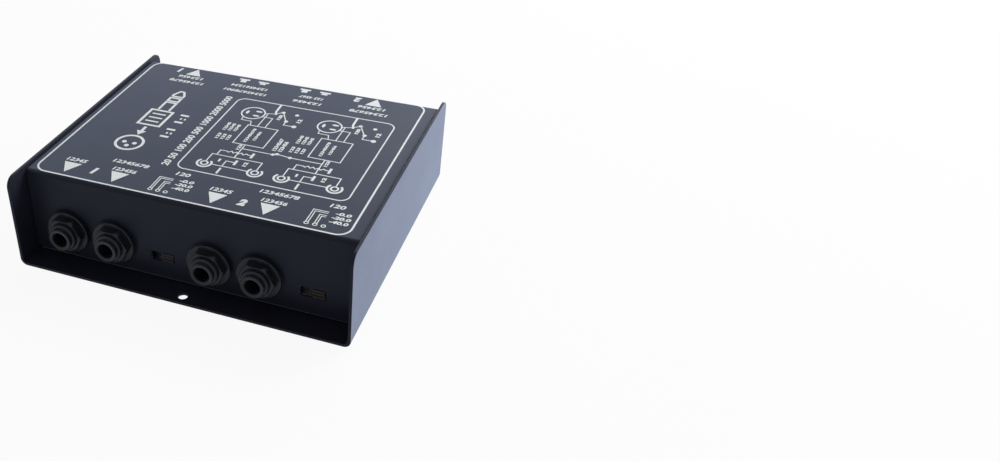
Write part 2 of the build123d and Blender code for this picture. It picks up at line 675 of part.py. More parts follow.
# ---------------------------------------------------------------- push switches
def push_body(x):
    """Moulded switch body with a square guide for the plunger."""
    half = PUSH_BODY_SIZE / 2
    body = block(x - half, x + half, push_body_back, push_body_front, board_top, push_z + half)
    cavity = block(
        x - half + PUSH_WALL,
        x + half - PUSH_WALL,
        push_body_back + PUSH_WALL,
        push_body_front - PUSH_WALL,
        board_top + PUSH_WALL,
        push_z + half - PUSH_WALL,
    )
    guide = PLUNGER_SIZE / 2 + PLUNGER_GAP
    hole = block(
        x - guide, x + guide, push_body_front - PUSH_WALL, push_body_front, push_z - guide, push_z + guide
    )
    holes = [rod_z(px, py, PIN_R + PIN_GAP, 0, board_top + PUSH_WALL) for px, py in push_pin_places(x)]
    return body - cavity - hole - holes


def push_pins(x):
    """Solder pins of one push switch."""
    top = board_top + PUSH_WALL + PIN_R
    return group(rod_z(px, py, PIN_R, pin_end, top) for px, py in push_pin_places(x))


def push_plunger(x):
    """Square plunger between the cap and the inside of the switch."""
    half = PLUNGER_SIZE / 2
    back = push_body_front - PLUNGER_INSIDE
    front = rear_in - PUSH_CAP_INSIDE + PLUNGER_IN_CAP
    return block(x - half, x + half, back, front, push_z - half, push_z + half)


def push_cap(x):
    """Round cap with a socket for the plunger."""
    root = rear_in - PUSH_CAP_INSIDE
    face = rear_out + PUSH_CAP_PROUD
    cap = rod_y(x, push_z, PUSH_CAP_R, root, face)
    cap = fillet(circles_at(cap, Axis.Y, face), PUSH_CAP_EDGE)
    half = PLUNGER_SIZE / 2 + CAP_SOCKET_GAP
    return cap - block(x - half, x + half, root, root + PLUNGER_IN_CAP, push_z - half, push_z + half)


# ---------------------------------------------------------------- output connectors
def output_tail_places(x):
    """X of the vertical tail of each contact pin."""
    return [px for px, pz in output_pin_places(x)]


def output_shell(x):
    """Flange, raised rim and keyed barrel of one output connector."""
    outline = RectangleRounded(OUTPUT_FLANGE_WIDTH, OUTPUT_FLANGE_HEIGHT, OUTPUT_FLANGE_CORNER)
    flange_front = rear_out + OUTPUT_FLANGE_THICK
    flange = Pos(x, flange_front, OUTPUT_Z) * extrude(Plane.XZ * outline, OUTPUT_FLANGE_THICK)
    barrel = rod_y(x, OUTPUT_Z, OUTPUT_BARREL_R, output_back, rear_out)
    rim = rod_y(x, OUTPUT_Z, OUTPUT_RIM_R, rear_out, output_mouth)
    rim = fillet(circles_at(rim, Axis.Y, output_mouth), OUTPUT_RIM_EDGE)
    key_half = OUTPUT_KEY_WIDTH / 2
    key_top = OUTPUT_Z + OUTPUT_BORE_R + OUTPUT_KEY_DEPTH
    key = block(x - key_half, x + key_half, insert_front, output_mouth, OUTPUT_Z, key_top)
    cuts = [rod_y(x, OUTPUT_Z, OUTPUT_BORE_R, output_back, output_mouth), key]
    for sx, sz in output_screw_places(x):
        cuts.append(rod_y(sx, sz, SCREW_HOLE_R, rear_out, output_mouth))
    return flange + barrel + rim - cuts


def output_insert(x):
    """Insulating disc that holds the contact pins at the bottom of the barrel."""
    insert = rod_y(x, OUTPUT_Z, OUTPUT_BORE_R - INSERT_GAP, output_back, insert_front)
    hole_r = CONTACT_PIN_R + INSERT_GAP
    return insert - [rod_y(px, pz, hole_r, output_back, insert_front) for px, pz in output_pin_places(x)]


def output_pin(x, z):
    """Contact pin with a rounded tip and a tail down through the board."""
    tip = output_mouth - CONTACT_PIN_SHORT
    pin = rod_y(x, z, CONTACT_PIN_R, contact_tail_y - PIN_R, tip)
    pin = fillet(circles_at(pin, Axis.Y, tip), CONTACT_TIP_EDGE)
    return pin + rod_z(x, contact_tail_y, PIN_R, pin_end, z)


def output_pins(x):
    """The three contact pins of one output connector."""
    return group(output_pin(px, pz) for px, pz in output_pin_places(x))


def output_screw(x, z):
    """Button-head screw through the flange and the output panel."""
    seat = rear_out + OUTPUT_FLANGE_THICK
    head = rod_y(x, z, HEAD_R, seat, seat + HEAD_HEIGHT)
    head = fillet(circles_at(head, Axis.Y, seat + HEAD_HEIGHT), HEAD_EDGE)
    shank = rod_y(x, z, SCREW_R, rear_in - NUT_HEIGHT - SCREW_PROUD, seat)
    return head + shank - rod_y(x, z, DRIVE_R, seat + HEAD_HEIGHT - DRIVE_DEPTH, seat + HEAD_HEIGHT)


def output_nut(x, z):
    """Hexagonal nut behind the output panel."""
    back = rear_in - NUT_HEIGHT
    return hexagon_y(x, z, NUT_FLATS, back, rear_in) - rod_y(x, z, THREAD_R, back, rear_in)


# ---------------------------------------------------------------- transformers
def transformer_core(x):
    """Stack of E and I laminations, with two windows for the coil."""
    y0 = transformer_y - CORE_STACK / 2
    y1 = transformer_y + CORE_STACK / 2
    core = block(x - CORE_WIDTH / 2, x + CORE_WIDTH / 2, y0, y1, core_bottom, core_top)
    windows = []
    for side in (-1, 1):
        inner = x + side * CENTRE_LIMB / 2
        outer = inner + side * window_width
        low = core_bottom + CORE_LIMB
        windows.append(block(min(inner, outer), max(inner, outer), y0, y1, low, core_top - CORE_LIMB))
    return core - windows


def coil_ring(x, inner_gap, thickness, z0, z1):
    """Rectangular ring round the centre limb."""
    half_x = CENTRE_LIMB / 2 + inner_gap
    half_y = CORE_STACK / 2 + inner_gap
    outer_x = half_x + thickness
    outer_y = half_y + thickness
    outside = block(x - outer_x, x + outer_x, transformer_y - outer_y, transformer_y + outer_y, z0, z1)
    inside = block(x - half_x, x + half_x, transformer_y - half_y, transformer_y + half_y, z0, z1)
    return outside - inside


def transformer_bobbin(x):
    """Bobbin round the centre limb, and the foot blocks that stand on the board."""
    low = core_bottom + CORE_LIMB + COIL_GAP
    high = core_top - CORE_LIMB - COIL_GAP
    flange = window_width - 2 * COIL_GAP
    bobbin = coil_ring(x, COIL_GAP, BOBBIN_WALL, low, high)
    bobbin += coil_ring(x, COIL_GAP, flange, low, low + BOBBIN_WALL)
    bobbin += coil_ring(x, COIL_GAP, flange, high - BOBBIN_WALL, high)
    half_x = CORE_WIDTH / 2 - CORE_LIMB
    inner_y = CORE_STACK / 2 + COIL_GAP
    foot_top = low + BOBBIN_WALL
    for side in (-1, 1):
        near = transformer_y + side * inner_y
        far = transformer_y + side * coil_half_depth()
        bobbin += block(x - half_x, x + half_x, min(near, far), max(near, far), board_top, foot_top)
    bobbin += block(
        x - half_x, x + half_x, transformer_y - inner_y, transformer_y + inner_y, board_top, core_bottom
    )
    holes = [rod_z(px, py, PIN_R + PIN_GAP, board_top, core_bottom) for px, py in transformer_pin_places(x)]
    return bobbin - holes


def transformer_winding(x):
    """Copper coil on the bobbin."""
    low = core_bottom + CORE_LIMB + 2 * COIL_GAP + BOBBIN_WALL
    high = core_top - CORE_LIMB - 2 * COIL_GAP - BOBBIN_WALL
    inner_gap = 2 * COIL_GAP + BOBBIN_WALL
    thickness = window_width - inner_gap - WINDING_SPARE
    return coil_ring(x, inner_gap, thickness, low, high)


def transformer_pins(x):
    """Solder pins of one transformer."""
    return group(rod_z(px, py, PIN_R, pin_end, core_bottom) for px, py in transformer_pin_places(x))


def transformer_strap(x):
    """Steel strap over the core, with a tab through the board on each side."""
    half_width = STRAP_WIDTH / 2
    inner = CORE_WIDTH / 2 + COIL_GAP
    outer = inner + STRAP_THICK
    top = core_top + COIL_GAP + STRAP_THICK
    y0 = transformer_y - half_width
    y1 = transformer_y + half_width
    strap = block(x - outer, x + outer, y0, y1, board_top, top)
    strap -= block(x - inner, x + inner, y0, y1, board_top, core_top + COIL_GAP)
    tab_half = half_width / 2
    for tab_x, tab_y in strap_tab_places(x):
        x0 = tab_x - STRAP_THICK / 2
        x1 = tab_x + STRAP_THICK / 2
        strap += block(x0, x1, tab_y - tab_half, tab_y + tab_half, pin_end, board_top)
    return strap


# ---------------------------------------------------------------- board parts
def resistor(x, y):
    """Axial resistor lying across the board, with both leads bent down."""
    z = board_top + RESISTOR_R + RESISTOR_LIFT
    half = RESISTOR_SPAN / 2
    part = rod_x(y, z, RESISTOR_R, x - RESISTOR_LENGTH / 2, x + RESISTOR_LENGTH / 2)
    part += rod_x(y, z, RESISTOR_LEAD_R, x - half - RESISTOR_LEAD_R, x + half + RESISTOR_LEAD_R)
    for side in (-1, 1):
        part += rod_z(x + side * half, y, RESISTOR_LEAD_R, pin_end, z)
    return part


def capacitor(x):
    """Disc capacitor standing on its two leads."""
    z = board_top + CAPACITOR_R + RESISTOR_LIFT
    part = rod_y(x, z, CAPACITOR_R, capacitor_y - CAPACITOR_THICK / 2, capacitor_y + CAPACITOR_THICK / 2)
    for side in (-1, 1):
        part += rod_z(x + side * CAPACITOR_LEAD_X, capacitor_y, PIN_R, pin_end, z)
    return part


# ---------------------------------------------------------------- every node
def case_nodes():
    """Sheet metal, feet, board and the fasteners that join them."""
    standoff_mid = (floor_top + board_bottom) / 2
    low_tip = standoff_mid - SCREW_TIP_GAP
    high_tip = standoff_mid + SCREW_TIP_GAP
    return {
        "chassis_tray": chassis_tray(),
        "top_cover": top_cover(),
        "rubber_feet": group(rubber_foot(x, y) for x, y in foot_places()),
        "cover_screws": group(screw_up(x, y, tray_bottom, cover_screw_tip) for x, y in cover_screw_places()),
        "cover_clinch_nuts": group(clinch_nut(x, y) for x, y in cover_screw_places()),
        "main_board": main_board(),
        "board_standoffs": group(standoff(x, y) for x, y in standoff_places()),
        "standoff_screws": group(screw_up(x, y, tray_bottom, low_tip) for x, y in standoff_places()),
        "board_screws": group(screw_down(x, y, board_top, high_tip) for x, y in standoff_places()),
    }


def front_nodes():
    """Jacks and pad switches."""
    nodes = {}
    for name, index in JACK_STATIONS.items():
        nodes[f"{name}_jack_body"] = jack_body(station_x(index))
        nodes[f"{name}_jack_contacts"] = jack_contacts(station_x(index))
    nodes["jack_collars"] = group(jack_collar(station_x(index)) for index in JACK_STATIONS.values())
    nodes["jack_nuts"] = group(jack_nut(station_x(index)) for index in JACK_STATIONS.values())
    for name, index in PAD_STATIONS.items():
        nodes[f"{name}_switch_frame"] = pad_frame(station_x(index))
        nodes[f"{name}_switch_base"] = pad_base(station_x(index))
        nodes[f"{name}_switch_pins"] = pad_pins(station_x(index))
        nodes[f"{name}_switch_knob"] = pad_knob(station_x(index))
    return nodes


def rear_nodes():
    """Push switches and output connectors."""
    nodes = {}
    for name, x in PUSH_X.items():
        nodes[f"{name}_switch_body"] = push_body(x)
        nodes[f"{name}_switch_pins"] = push_pins(x)
        nodes[f"{name}_plunger"] = push_plunger(x)
        nodes[f"{name}_button_cap"] = push_cap(x)
    screws = []
    for name, x in OUTPUT_X.items():
        nodes[f"{name}_shell"] = output_shell(x)
        nodes[f"{name}_insert"] = output_insert(x)
        nodes[f"{name}_pins"] = output_pins(x)
        screws += output_screw_places(x)
    nodes["output_screws"] = group(output_screw(x, z) for x, z in screws)
    nodes["output_nuts"] = group(output_nut(x, z) for x, z in screws)
    return nodes


def circuit_nodes():
    """Transformers and small parts on the board."""
    nodes = {}
    for name, x in TRANSFORMER_X.items():
        nodes[f"{name}_core"] = transformer_core(x)
        nodes[f"{name}_bobbin"] = transformer_bobbin(x)
        nodes[f"{name}_winding"] = transformer_winding(x)
        nodes[f"{name}_pins"] = transformer_pins(x)
        nodes[f"{name}_strap"] = transformer_strap(x)
    nodes["pad_resistors"] = group(resistor(x, y) for x, y in resistor_places())
    nodes["ground_capacitors"] = group(capacitor(x) for x in (-CAPACITOR_X, CAPACITOR_X))
    return nodes


def main():
    os.makedirs("parts", exist_ok=True)
    nodes = {**case_nodes(), **front_nodes(), **rear_nodes(), **circuit_nodes()}
    for name, shape in nodes.items():
        export_step(shape, f"parts/{name}.step")
    print(len(nodes), "nodes")


if __name__ == "__main__":
    main()
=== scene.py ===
"""Stereo passive direct injection box: its visible pieces, finishes, stage and camera.

Laid out as an add-on: sizes and colours are properties, each kind of piece has its own operator, and
main() registers them and runs them in order.
"""

import json
import math

import bmesh
import bpy
from bpy.props import FloatProperty, FloatVectorProperty, PointerProperty
from mathutils import Matrix, Vector

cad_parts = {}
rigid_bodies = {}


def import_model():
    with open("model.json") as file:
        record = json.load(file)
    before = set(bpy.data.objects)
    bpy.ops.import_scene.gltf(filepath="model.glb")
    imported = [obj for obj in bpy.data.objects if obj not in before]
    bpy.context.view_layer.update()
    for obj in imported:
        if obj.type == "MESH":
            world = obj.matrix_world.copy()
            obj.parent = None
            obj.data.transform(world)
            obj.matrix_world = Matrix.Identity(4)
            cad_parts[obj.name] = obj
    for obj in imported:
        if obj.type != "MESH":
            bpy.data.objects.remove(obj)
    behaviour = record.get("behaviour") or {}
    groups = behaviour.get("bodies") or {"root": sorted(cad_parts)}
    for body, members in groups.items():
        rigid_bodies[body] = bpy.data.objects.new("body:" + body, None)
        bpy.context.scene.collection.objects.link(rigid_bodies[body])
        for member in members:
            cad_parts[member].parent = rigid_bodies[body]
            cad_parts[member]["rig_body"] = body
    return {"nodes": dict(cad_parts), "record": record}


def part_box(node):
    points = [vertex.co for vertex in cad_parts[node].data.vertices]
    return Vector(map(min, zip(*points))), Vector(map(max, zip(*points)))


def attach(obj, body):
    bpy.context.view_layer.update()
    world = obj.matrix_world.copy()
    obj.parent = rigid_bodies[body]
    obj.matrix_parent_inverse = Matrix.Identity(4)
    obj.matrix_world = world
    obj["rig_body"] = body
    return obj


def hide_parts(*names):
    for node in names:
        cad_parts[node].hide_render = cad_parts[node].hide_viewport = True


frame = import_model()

bl_info = {
    "name": "Direct Injection Box",
    "version": (1, 0, 0),
    "blender": (4, 5, 0),
    "location": "3D View > Sidebar > Direct Box",
    "description": "Builds the pieces and finishes of a stereo passive direct injection box",
    "category": "Object",
}

MM = 0.001
JACKS = ("input_a", "link_a", "input_b", "link_b")
PADS = ("pad_a", "pad_b")
PUSHES = ("mode", "lift")
OUTPUTS = ("output_a", "output_b")
BEND = 2.0 * MM  # outer radius of the cover's bends
BEND_STEP = 0.3 * MM
BEND_CUTS = 7  # cuts across the ink, a step apart, that let it follow a bend
SMOOTH_ANGLE = math.radians(32)
SOFT_ANGLE = math.radians(50)
SQUARE_ANGLE = math.radians(75)  # only near-square edges are sharper
FLAT_ANGLE = 0.002  # faces this near to level, in radians, are joined
FACING = 0.05  # least part of a normal that counts as facing a way
MERGE = 0.002 * MM  # vertices nearer than this are one
SLIVER = 0.001 * MM  # edges shorter than this go
LEVEL = 0.01 * MM  # how near to a flat end a vertex lies on it
INK_MERGE = 0.0005 * MM
INK_SINK = 0.01 * MM  # how far the ink reaches into the cover
INK_STEP = 0.001 * MM  # height of each mark over the one before it
INK_STEPS = 24
ROUNDING_STEPS = 4
HEAD_HEIGHT = 1.7 * MM  # screw head
BREAK = 0.1 * MM  # small broken edges
STRIPE_BLEND = 0.5  # part of a sine over which a stripe fades
ROUGH_SPREAD = 0.05  # how far roughness strays either way
SHEEN_ROUGHNESS = 0.45
COAT_ROUGHNESS = 0.2
DUST = (0.3, 0.3, 0.31)
COOL_GLOSS = (0.56, 0.7, 1.0)
LAMP_AIM = (0, 0, 0.02)  # metres, the box's middle
CAMERA_PLACE = (155.89, -330.18, 247.51)  # millimetres
BANDS = {"brown": (0.1, 0.035, 0.015), "red": (0.5, 0.02, 0.01), "gold": (0.45, 0.28, 0.06)}
# corners of a line's section
SQUARE = ((-0.5, -0.5), (0.5, -0.5), (0.5, 0.5), (-0.5, 0.5))


# ---- settings
class CaseSettings(bpy.types.PropertyGroup):
    """Sheet-metal case."""

    edge_radius: FloatProperty(
        name="Edge radius", description="Paint-rounded edges of the sheets",
        default=0.22 * MM, unit="LENGTH",
    )
    paint: FloatVectorProperty(
        name="Paint", description="Powder coat",
        default=(0.0106, 0.0089, 0.0158), subtype="COLOR",
    )
    # lighter edge colour: partly rubbed paint, partly a painted edge highlight
    bare_and_lit_edge: FloatVectorProperty(
        name="Rubbed edge", description="Where the coat is thin",
        default=(0.075, 0.08, 0.1), subtype="COLOR",
    )


class PrintSettings(bpy.types.PropertyGroup):
    """Printed marks on the top."""

    ink: FloatVectorProperty(
        name="Ink", description="Screen-printed ink",
        default=(0.92, 0.965, 1.0), subtype="COLOR",
    )
    thickness: FloatProperty(
        name="Ink thickness", description="Height above the paint", default=0.04 * MM, unit="LENGTH"
    )


class FrontSettings(bpy.types.PropertyGroup):
    """Jacks and pad switches."""

    edge_radius: FloatProperty(
        name="Moulded edge", description="Edge radius of moulded pieces",
        default=0.12 * MM, unit="LENGTH",
    )
    plastic: FloatVectorProperty(
        name="Plastic", description="Jacks, nuts and collars",
        default=(0.0105, 0.011, 0.0155), subtype="COLOR",
    )


class RearSettings(bpy.types.PropertyGroup):
    """Output connectors and push buttons."""

    edge_radius: FloatProperty(
        name="Shell edge", description="Edge radius of the connector shells",
        default=0.18 * MM, unit="LENGTH",
    )
    dish_depth: FloatProperty(
        name="Button dish", description="Depth of the hollow in a button's face",
        default=0.35 * MM, unit="LENGTH",
    )
    dish_margin: FloatProperty(
        name="Button rim", description="Width of the rim round the hollow",
        default=0.9 * MM, unit="LENGTH",
    )


class FastenerSettings(bpy.types.PropertyGroup):
    """Screws and feet."""

    shank_radius: FloatProperty(
        name="Shank", description="Screw shank radius", default=1.5 * MM, unit="LENGTH"
    )
    head_edge: FloatProperty(
        name="Head edge", description="Rounding of a screw head", default=0.85 * MM, unit="LENGTH"
    )
    drive_radius: FloatProperty(
        name="Drive", description="Hexagonal recess, over its corners", default=1.1 * MM, unit="LENGTH"
    )
    drive_depth: FloatProperty(
        name="Drive depth", description="Depth of the recess", default=0.8 * MM, unit="LENGTH"
    )
    foot_edge: FloatProperty(
        name="Foot edge", description="Rounding of a rubber foot", default=0.6 * MM, unit="LENGTH"
    )
    foot_hollow: FloatProperty(
        name="Foot hollow", description="Radius of the hollow under a foot",
        default=2.4 * MM, unit="LENGTH",
    )


class BoardSettings(bpy.types.PropertyGroup):
    """Parts on the circuit board."""

    band_width: FloatProperty(
        name="Band", description="Width of a resistor's colour band", default=0.5 * MM, unit="LENGTH"
    )
    dip_radius: FloatProperty(
        name="Dipped edge", description="Rounded edge of a dipped capacitor",
        default=0.8 * MM, unit="LENGTH",
    )


class StageSettings(bpy.types.PropertyGroup):
    """Floor, lamps and camera."""

    floor: FloatVectorProperty(
        name="Floor", description="Floor colour", default=(0.93, 0.93, 0.93), subtype="COLOR"
    )
    floor_lift: FloatProperty(
        name="Floor lift", description="How far the floor is seen as plain white",
        default=0.93, subtype="FACTOR",
    )
    surround: FloatProperty(name="Surround", description="Strength of the soft surround", default=0.18)
    key_power: FloatProperty(
        name="Key lamp", description="Soft lamp behind the box", default=12.0, unit="POWER"
    )
    side_power: FloatProperty(
        name="Side lamp", description="Soft lamp behind and to the right", default=14.0, unit="POWER"
    )
    azimuth: FloatProperty(
        name="Azimuth", description="Camera's turn round the box",
        default=math.radians(24.309), subtype="ANGLE",
    )
    elevation: FloatProperty(
        name="Elevation", description="Camera's height angle",
        default=math.radians(34.549), subtype="ANGLE",
    )
    roll: FloatProperty(
        name="Roll", description="Camera's tilt", default=math.radians(-1.759), subtype="ANGLE"
    )
    lens: FloatProperty(name="Lens", description="Focal length in millimetres", default=35.739)
    shift: FloatProperty(name="Shift", description="Sideways shift of the lens", default=0.244)


SETTINGS = {
    "box_case": CaseSettings,
    "box_print": PrintSettings,
    "box_front": FrontSettings,
    "box_rear": RearSettings,
    "box_fasteners": FastenerSettings,
    "box_board": BoardSettings,
    "box_stage": StageSettings,
}


# ---- shader helpers
def set_inputs(tree, node, inputs):
    """Gives a node's inputs, by name or number, values or links."""
    for name, value in inputs.items():
        if isinstance(value, bpy.types.NodeSocket):
            tree.links.new(value, node.inputs[name])
        else:
            node.inputs[name].default_value = value


def add_node(tree, kind, inputs=None, **options):
    """A shader node with its options and inputs set."""
    node = tree.nodes.new(kind)
    for name, value in options.items():
        setattr(node, name, value)
    set_inputs(tree, node, inputs or {})
    return node


def combined(tree, operation, first, second, **options):
    """Result of a math operation on two values or links."""
    node = add_node(tree, "ShaderNodeMath", {0: first, 1: second}, operation=operation, **options)
    return node.outputs["Value"]


def mapped(tree, value, low, high, to_low=0.0, to_high=1.0):
    """A value's range from low to high, laid over another range."""
    limits = {"From Min": low, "From Max": high, "To Min": to_low, "To Max": to_high}
    return add_node(tree, "ShaderNodeMapRange", {"Value": value, **limits}).outputs["Result"]


def noise(tree, scale, detail, roughness=0.5):
    """Noise from 0 to 1, in the object's own coordinates."""
    place = add_node(tree, "ShaderNodeTexCoord").outputs["Object"]
    settings = {"Vector": place, "Scale": scale, "Detail": detail, "Roughness": roughness}
    return add_node(tree, "ShaderNodeTexNoise", settings).outputs["Fac"]


def effect_group(name, inputs, outputs):
    """An empty node group for an effect: its inputs with their values, and its outputs."""
    group = bpy.data.node_groups.new(name, "ShaderNodeTree")
    kind = "NodeSocketFloat"
    for label, value in inputs.items():
        socket = group.interface.new_socket(name=label, in_out="INPUT", socket_type=kind)
        socket.default_value = value
    for label in outputs:
        group.interface.new_socket(name=label, in_out="OUTPUT", socket_type=kind)
    return group, group.nodes.new("NodeGroupInput"), group.nodes.new("NodeGroupOutput")


def grain_group():
    """Fine surface texture: a height for bump, and a slow mottle for colour and roughness."""
    scales = {"Grain Scale": 2500.0, "Mottle Scale": 40.0}
    group, given, result = effect_group("surface_grain", scales, ["Height", "Mottle"])
    height = noise(group, given.outputs["Grain Scale"], 3.0, 0.55)
    mottle = noise(group, given.outputs["Mottle Scale"], 4.0, 0.6)
    set_inputs(group, result, {"Height": height, "Mottle": mottle})


def mask_result(group, given, result, first, second):
    """Ends a mask group: two masks and the amount, multiplied."""
    both = combined(group, "MULTIPLY", first, second)
    scaled = combined(group, "MULTIPLY", both, given.outputs["Amount"], use_clamp=True)
    set_inputs(group, result, {"Mask": scaled})


def wear_and_highlight_group():
    """Mask of outer edges, broken up by noise, for a lighter edge colour: partly rubbed wear, partly a
    painted edge highlight.
    """
    group, given, result = effect_group("edge_wear_and_highlight", {"Width": 0.4 * MM, "Amount": 0.5}, ["Mask"])
    rounded = add_node(group, "ShaderNodeBevel", {"Radius": given.outputs["Width"]}, samples=6)
    facing = add_node(group, "ShaderNodeNewGeometry")
    normals = {0: rounded.outputs["Normal"], 1: facing.outputs["Normal"]}
    dot = add_node(group, "ShaderNodeVectorMath", normals, operation="DOT_PRODUCT")
    # the cosine of the normals' angle falls where an edge is near
    near_edge = mapped(group, dot.outputs["Value"], 0.985, 0.9)
    broken = mapped(group, noise(group, 260.0, 4.0), 0.35, 0.65, 0.35)
    mask_result(group, given, result, near_edge, broken)


def dust_group():
    """Mask of fine dust on faces that look up."""
    group, given, result = effect_group("settled_dust", {"Amount": 0.1}, ["Mask"])
    facing = add_node(group, "ShaderNodeNewGeometry")
    split = add_node(group, "ShaderNodeSeparateXYZ", {"Vector": facing.outputs["Normal"]})
    upward = mapped(group, split.outputs["Z"], 0.3, 1.0)
    specks = mapped(group, noise(group, 900.0, 5.0), 0.52, 0.72)
    mask_result(group, given, result, upward, specks)


def banding(tree, axis, pitch):
    """A repeating stripe along one axis, from 0 to 1."""
    place = add_node(tree, "ShaderNodeTexCoord").outputs["Object"]
    split = add_node(tree, "ShaderNodeSeparateXYZ", {"Vector": place})
    wave = combined(tree, "MULTIPLY", split.outputs[axis], math.tau / pitch)
    sine = add_node(tree, "ShaderNodeMath", {0: wave}, operation="SINE")
    return mapped(tree, sine.outputs["Value"], -STRIPE_BLEND, STRIPE_BLEND)


def mix_colour(tree, mask, first, second):
    """Colour that goes from first to second with a mask."""
    ends = [end if isinstance(end, bpy.types.NodeSocket) else (*end, 1.0) for end in (first, second)]
    # sockets 6 and 7, and 2 of the outputs, are the mix node's colours
    mix = add_node(tree, "ShaderNodeMix", {"Factor": mask, 6: ends[0], 7: ends[1]}, data_type="RGBA")
    return mix.outputs[2]


def seen_ray(tree):
    """1 where a floor or surround is seen, directly, in a gloss or through something clear."""
    path = add_node(tree, "ShaderNodeLightPath").outputs
    direct = combined(tree, "MAXIMUM", path["Is Camera Ray"], path["Is Glossy Ray"])
    return combined(tree, "MAXIMUM", direct, path["Is Transmission Ray"])


def shade(colour, factor):
    """A colour made lighter or darker."""
    return tuple(min(1.0, c * factor) for c in colour)


def effect_node(tree, name, inputs):
    """An effect's node group, placed in a material."""
    return add_node(tree, "ShaderNodeGroup", inputs, node_tree=bpy.data.node_groups[name])


def finish_material(
    name, colour, roughness, metallic=0.0, grain=2500.0, depth=0.02, mottle=0.12, worn_and_lit=None, wear_and_highlight=0.0,
    wear_and_highlight_width=0.3 * MM, dust=0.0, sheen=0.0, specular=0.5, tint_of_gloss=(1.0, 1.0, 1.0), coat=0.0,
    stripes=None,
):
    """A procedural finish: mottled colour, grain bump, lighter edges (rubbed wear and a painted edge
    highlight), dust and optional stripes.

    stripes is (axis, pitch, colour between the stripes, bump depth).
    """
    material = bpy.data.materials.new(f"{name}_finish")
    material.use_nodes = True
    tree = material.node_tree
    surface = tree.nodes["Principled BSDF"]
    texture = effect_node(tree, "surface_grain", {"Grain Scale": grain})
    pale, deep = shade(colour, 1 + mottle), shade(colour, 1 - mottle)
    tint = mix_colour(tree, texture.outputs["Mottle"], deep, pale)
    height = texture.outputs["Height"]
    distance = depth * MM
    if stripes:
        axis, pitch, between, distance = stripes
        height = banding(tree, axis, pitch)
        tint = mix_colour(tree, height, between, tint)
    # lighter outer edges: partly rubbed wear, partly a painted edge highlight
    if wear_and_highlight:
        rubbed_and_lit = effect_node(tree, "edge_wear_and_highlight", {"Width": wear_and_highlight_width, "Amount": wear_and_highlight})
        tint = mix_colour(tree, rubbed_and_lit.outputs["Mask"], tint, worn_and_lit)
    if dust:
        settled = effect_node(tree, "settled_dust", {"Amount": dust})
        tint = mix_colour(tree, settled.outputs["Mask"], tint, DUST)
    low, high = max(0.02, roughness - ROUGH_SPREAD), min(1.0, roughness + ROUGH_SPREAD)
    bump = add_node(tree, "ShaderNodeBump", {"Height": height, "Strength": 1.0, "Distance": distance})
    settings = {
        "Base Color": tint,
        "Roughness": mapped(tree, texture.outputs["Mottle"], 0.3, 0.7, low, high),
        "Normal": bump.outputs["Normal"],
        "Metallic": metallic,
        "Specular IOR Level": specular,
        "Specular Tint": (*tint_of_gloss, 1.0),
        "Sheen Weight": sheen,
        "Sheen Roughness": SHEEN_ROUGHNESS,
        "Sheen Tint": (*tint_of_gloss, 1.0),
        "Coat Weight": coat,
        "Coat Roughness": COAT_ROUGHNESS,
    }
    set_inputs(tree, surface, settings)


def finish(name):
    """The finish made under a name."""
    return bpy.data.materials[f"{name}_finish"]


# ---- mesh helpers
def mesh_of(name, bm):
    """A mesh made of a bmesh, which is freed."""
    mesh = bpy.data.meshes.new(name)
    bm.to_mesh(mesh)
    bm.free()
    return mesh


def new_object(name, data):
    """An object in the scene."""
    made = bpy.data.objects.new(name, data)
    bpy.context.scene.collection.objects.link(made)
    return made


def make_piece(name, bm, material, body, replaces=()):
    """Turns a bmesh into a finished piece that rides on a body."""
    mesh = mesh_of(name, bm)
    for kind in material if isinstance(material, (list, tuple)) else [material]:
        mesh.materials.append(kind)
    mesh.shade_smooth()
    mesh.set_sharp_from_angle(angle=SMOOTH_ANGLE)
    piece = new_object(name, mesh)
    flat_faces = piece.modifiers.new("flat_faces", "WEIGHTED_NORMAL")
    flat_faces.keep_sharp = True
    flat_faces.weight = 100
    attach(piece, body)
    if replaces:
        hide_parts(*replaces)


def stand_in(node, name, bm, material):
    """A finished piece that takes a CAD node's place, on its body."""
    make_piece(name, bm, material, body_of_node(node), [node])


def merged_copy(node):
    """A merged copy of a CAD node's mesh, as a bmesh."""
    bm = bmesh.new()
    bm.from_mesh(frame["nodes"][node].data)
    bmesh.ops.remove_doubles(bm, verts=bm.verts, dist=MERGE)
    bmesh.ops.dissolve_degenerate(bm, edges=bm.edges, dist=SLIVER)
    return bm


def soften(bm, radius, angle=SOFT_ANGLE):
    """Rounds the edges of a closed mesh that are sharper than an angle."""
    sharp = [e for e in bm.edges if len(e.link_faces) == 2 and e.calc_face_angle(0.0) > angle]
    shape = {"offset_type": "OFFSET", "segments": 2, "profile": 0.5, "affect": "EDGES"}
    bmesh.ops.bevel(bm, geom=sharp, offset=radius, clamp_overlap=True, material=-1, **shape)
    return bm


def body_of_node(node):
    """The body that a CAD node belongs to."""
    return frame["nodes"][node]["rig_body"]


def slot_of_node(node):
    """The record's material slot of a CAD node."""
    for row in frame["record"]["subparts"]:
        if row["node"] == node:
            return row["material_slot"]
    raise ValueError(f"no slot for {node}")


def softened_piece(node, name, material, radius, angle=SOFT_ANGLE):
    """A detailed piece that stands for a CAD node, with its sharp edges rounded."""
    stand_in(node, name, soften(merged_copy(node), radius, angle), material)


def solid_boxes(node):
    """Lowest and highest corners of each separate solid of a CAD node."""
    bm = merged_copy(node)
    left = set(bm.verts)
    boxes = []
    while left:
        reached = {left.pop()}
        fresh = list(reached)
        while fresh:
            near = {edge.other_vert(vert) for vert in fresh for edge in vert.link_edges}
            fresh = [vert for vert in near if vert not in reached]
            reached.update(fresh)
        left -= reached
        low = Vector([min(vert.co[i] for vert in reached) for i in range(3)])
        high = Vector([max(vert.co[i] for vert in reached) for i in range(3)])
        boxes.append((low, high))
    bm.free()
    return sorted(boxes, key=lambda box: tuple(round(value, 5) for value in box[0]))


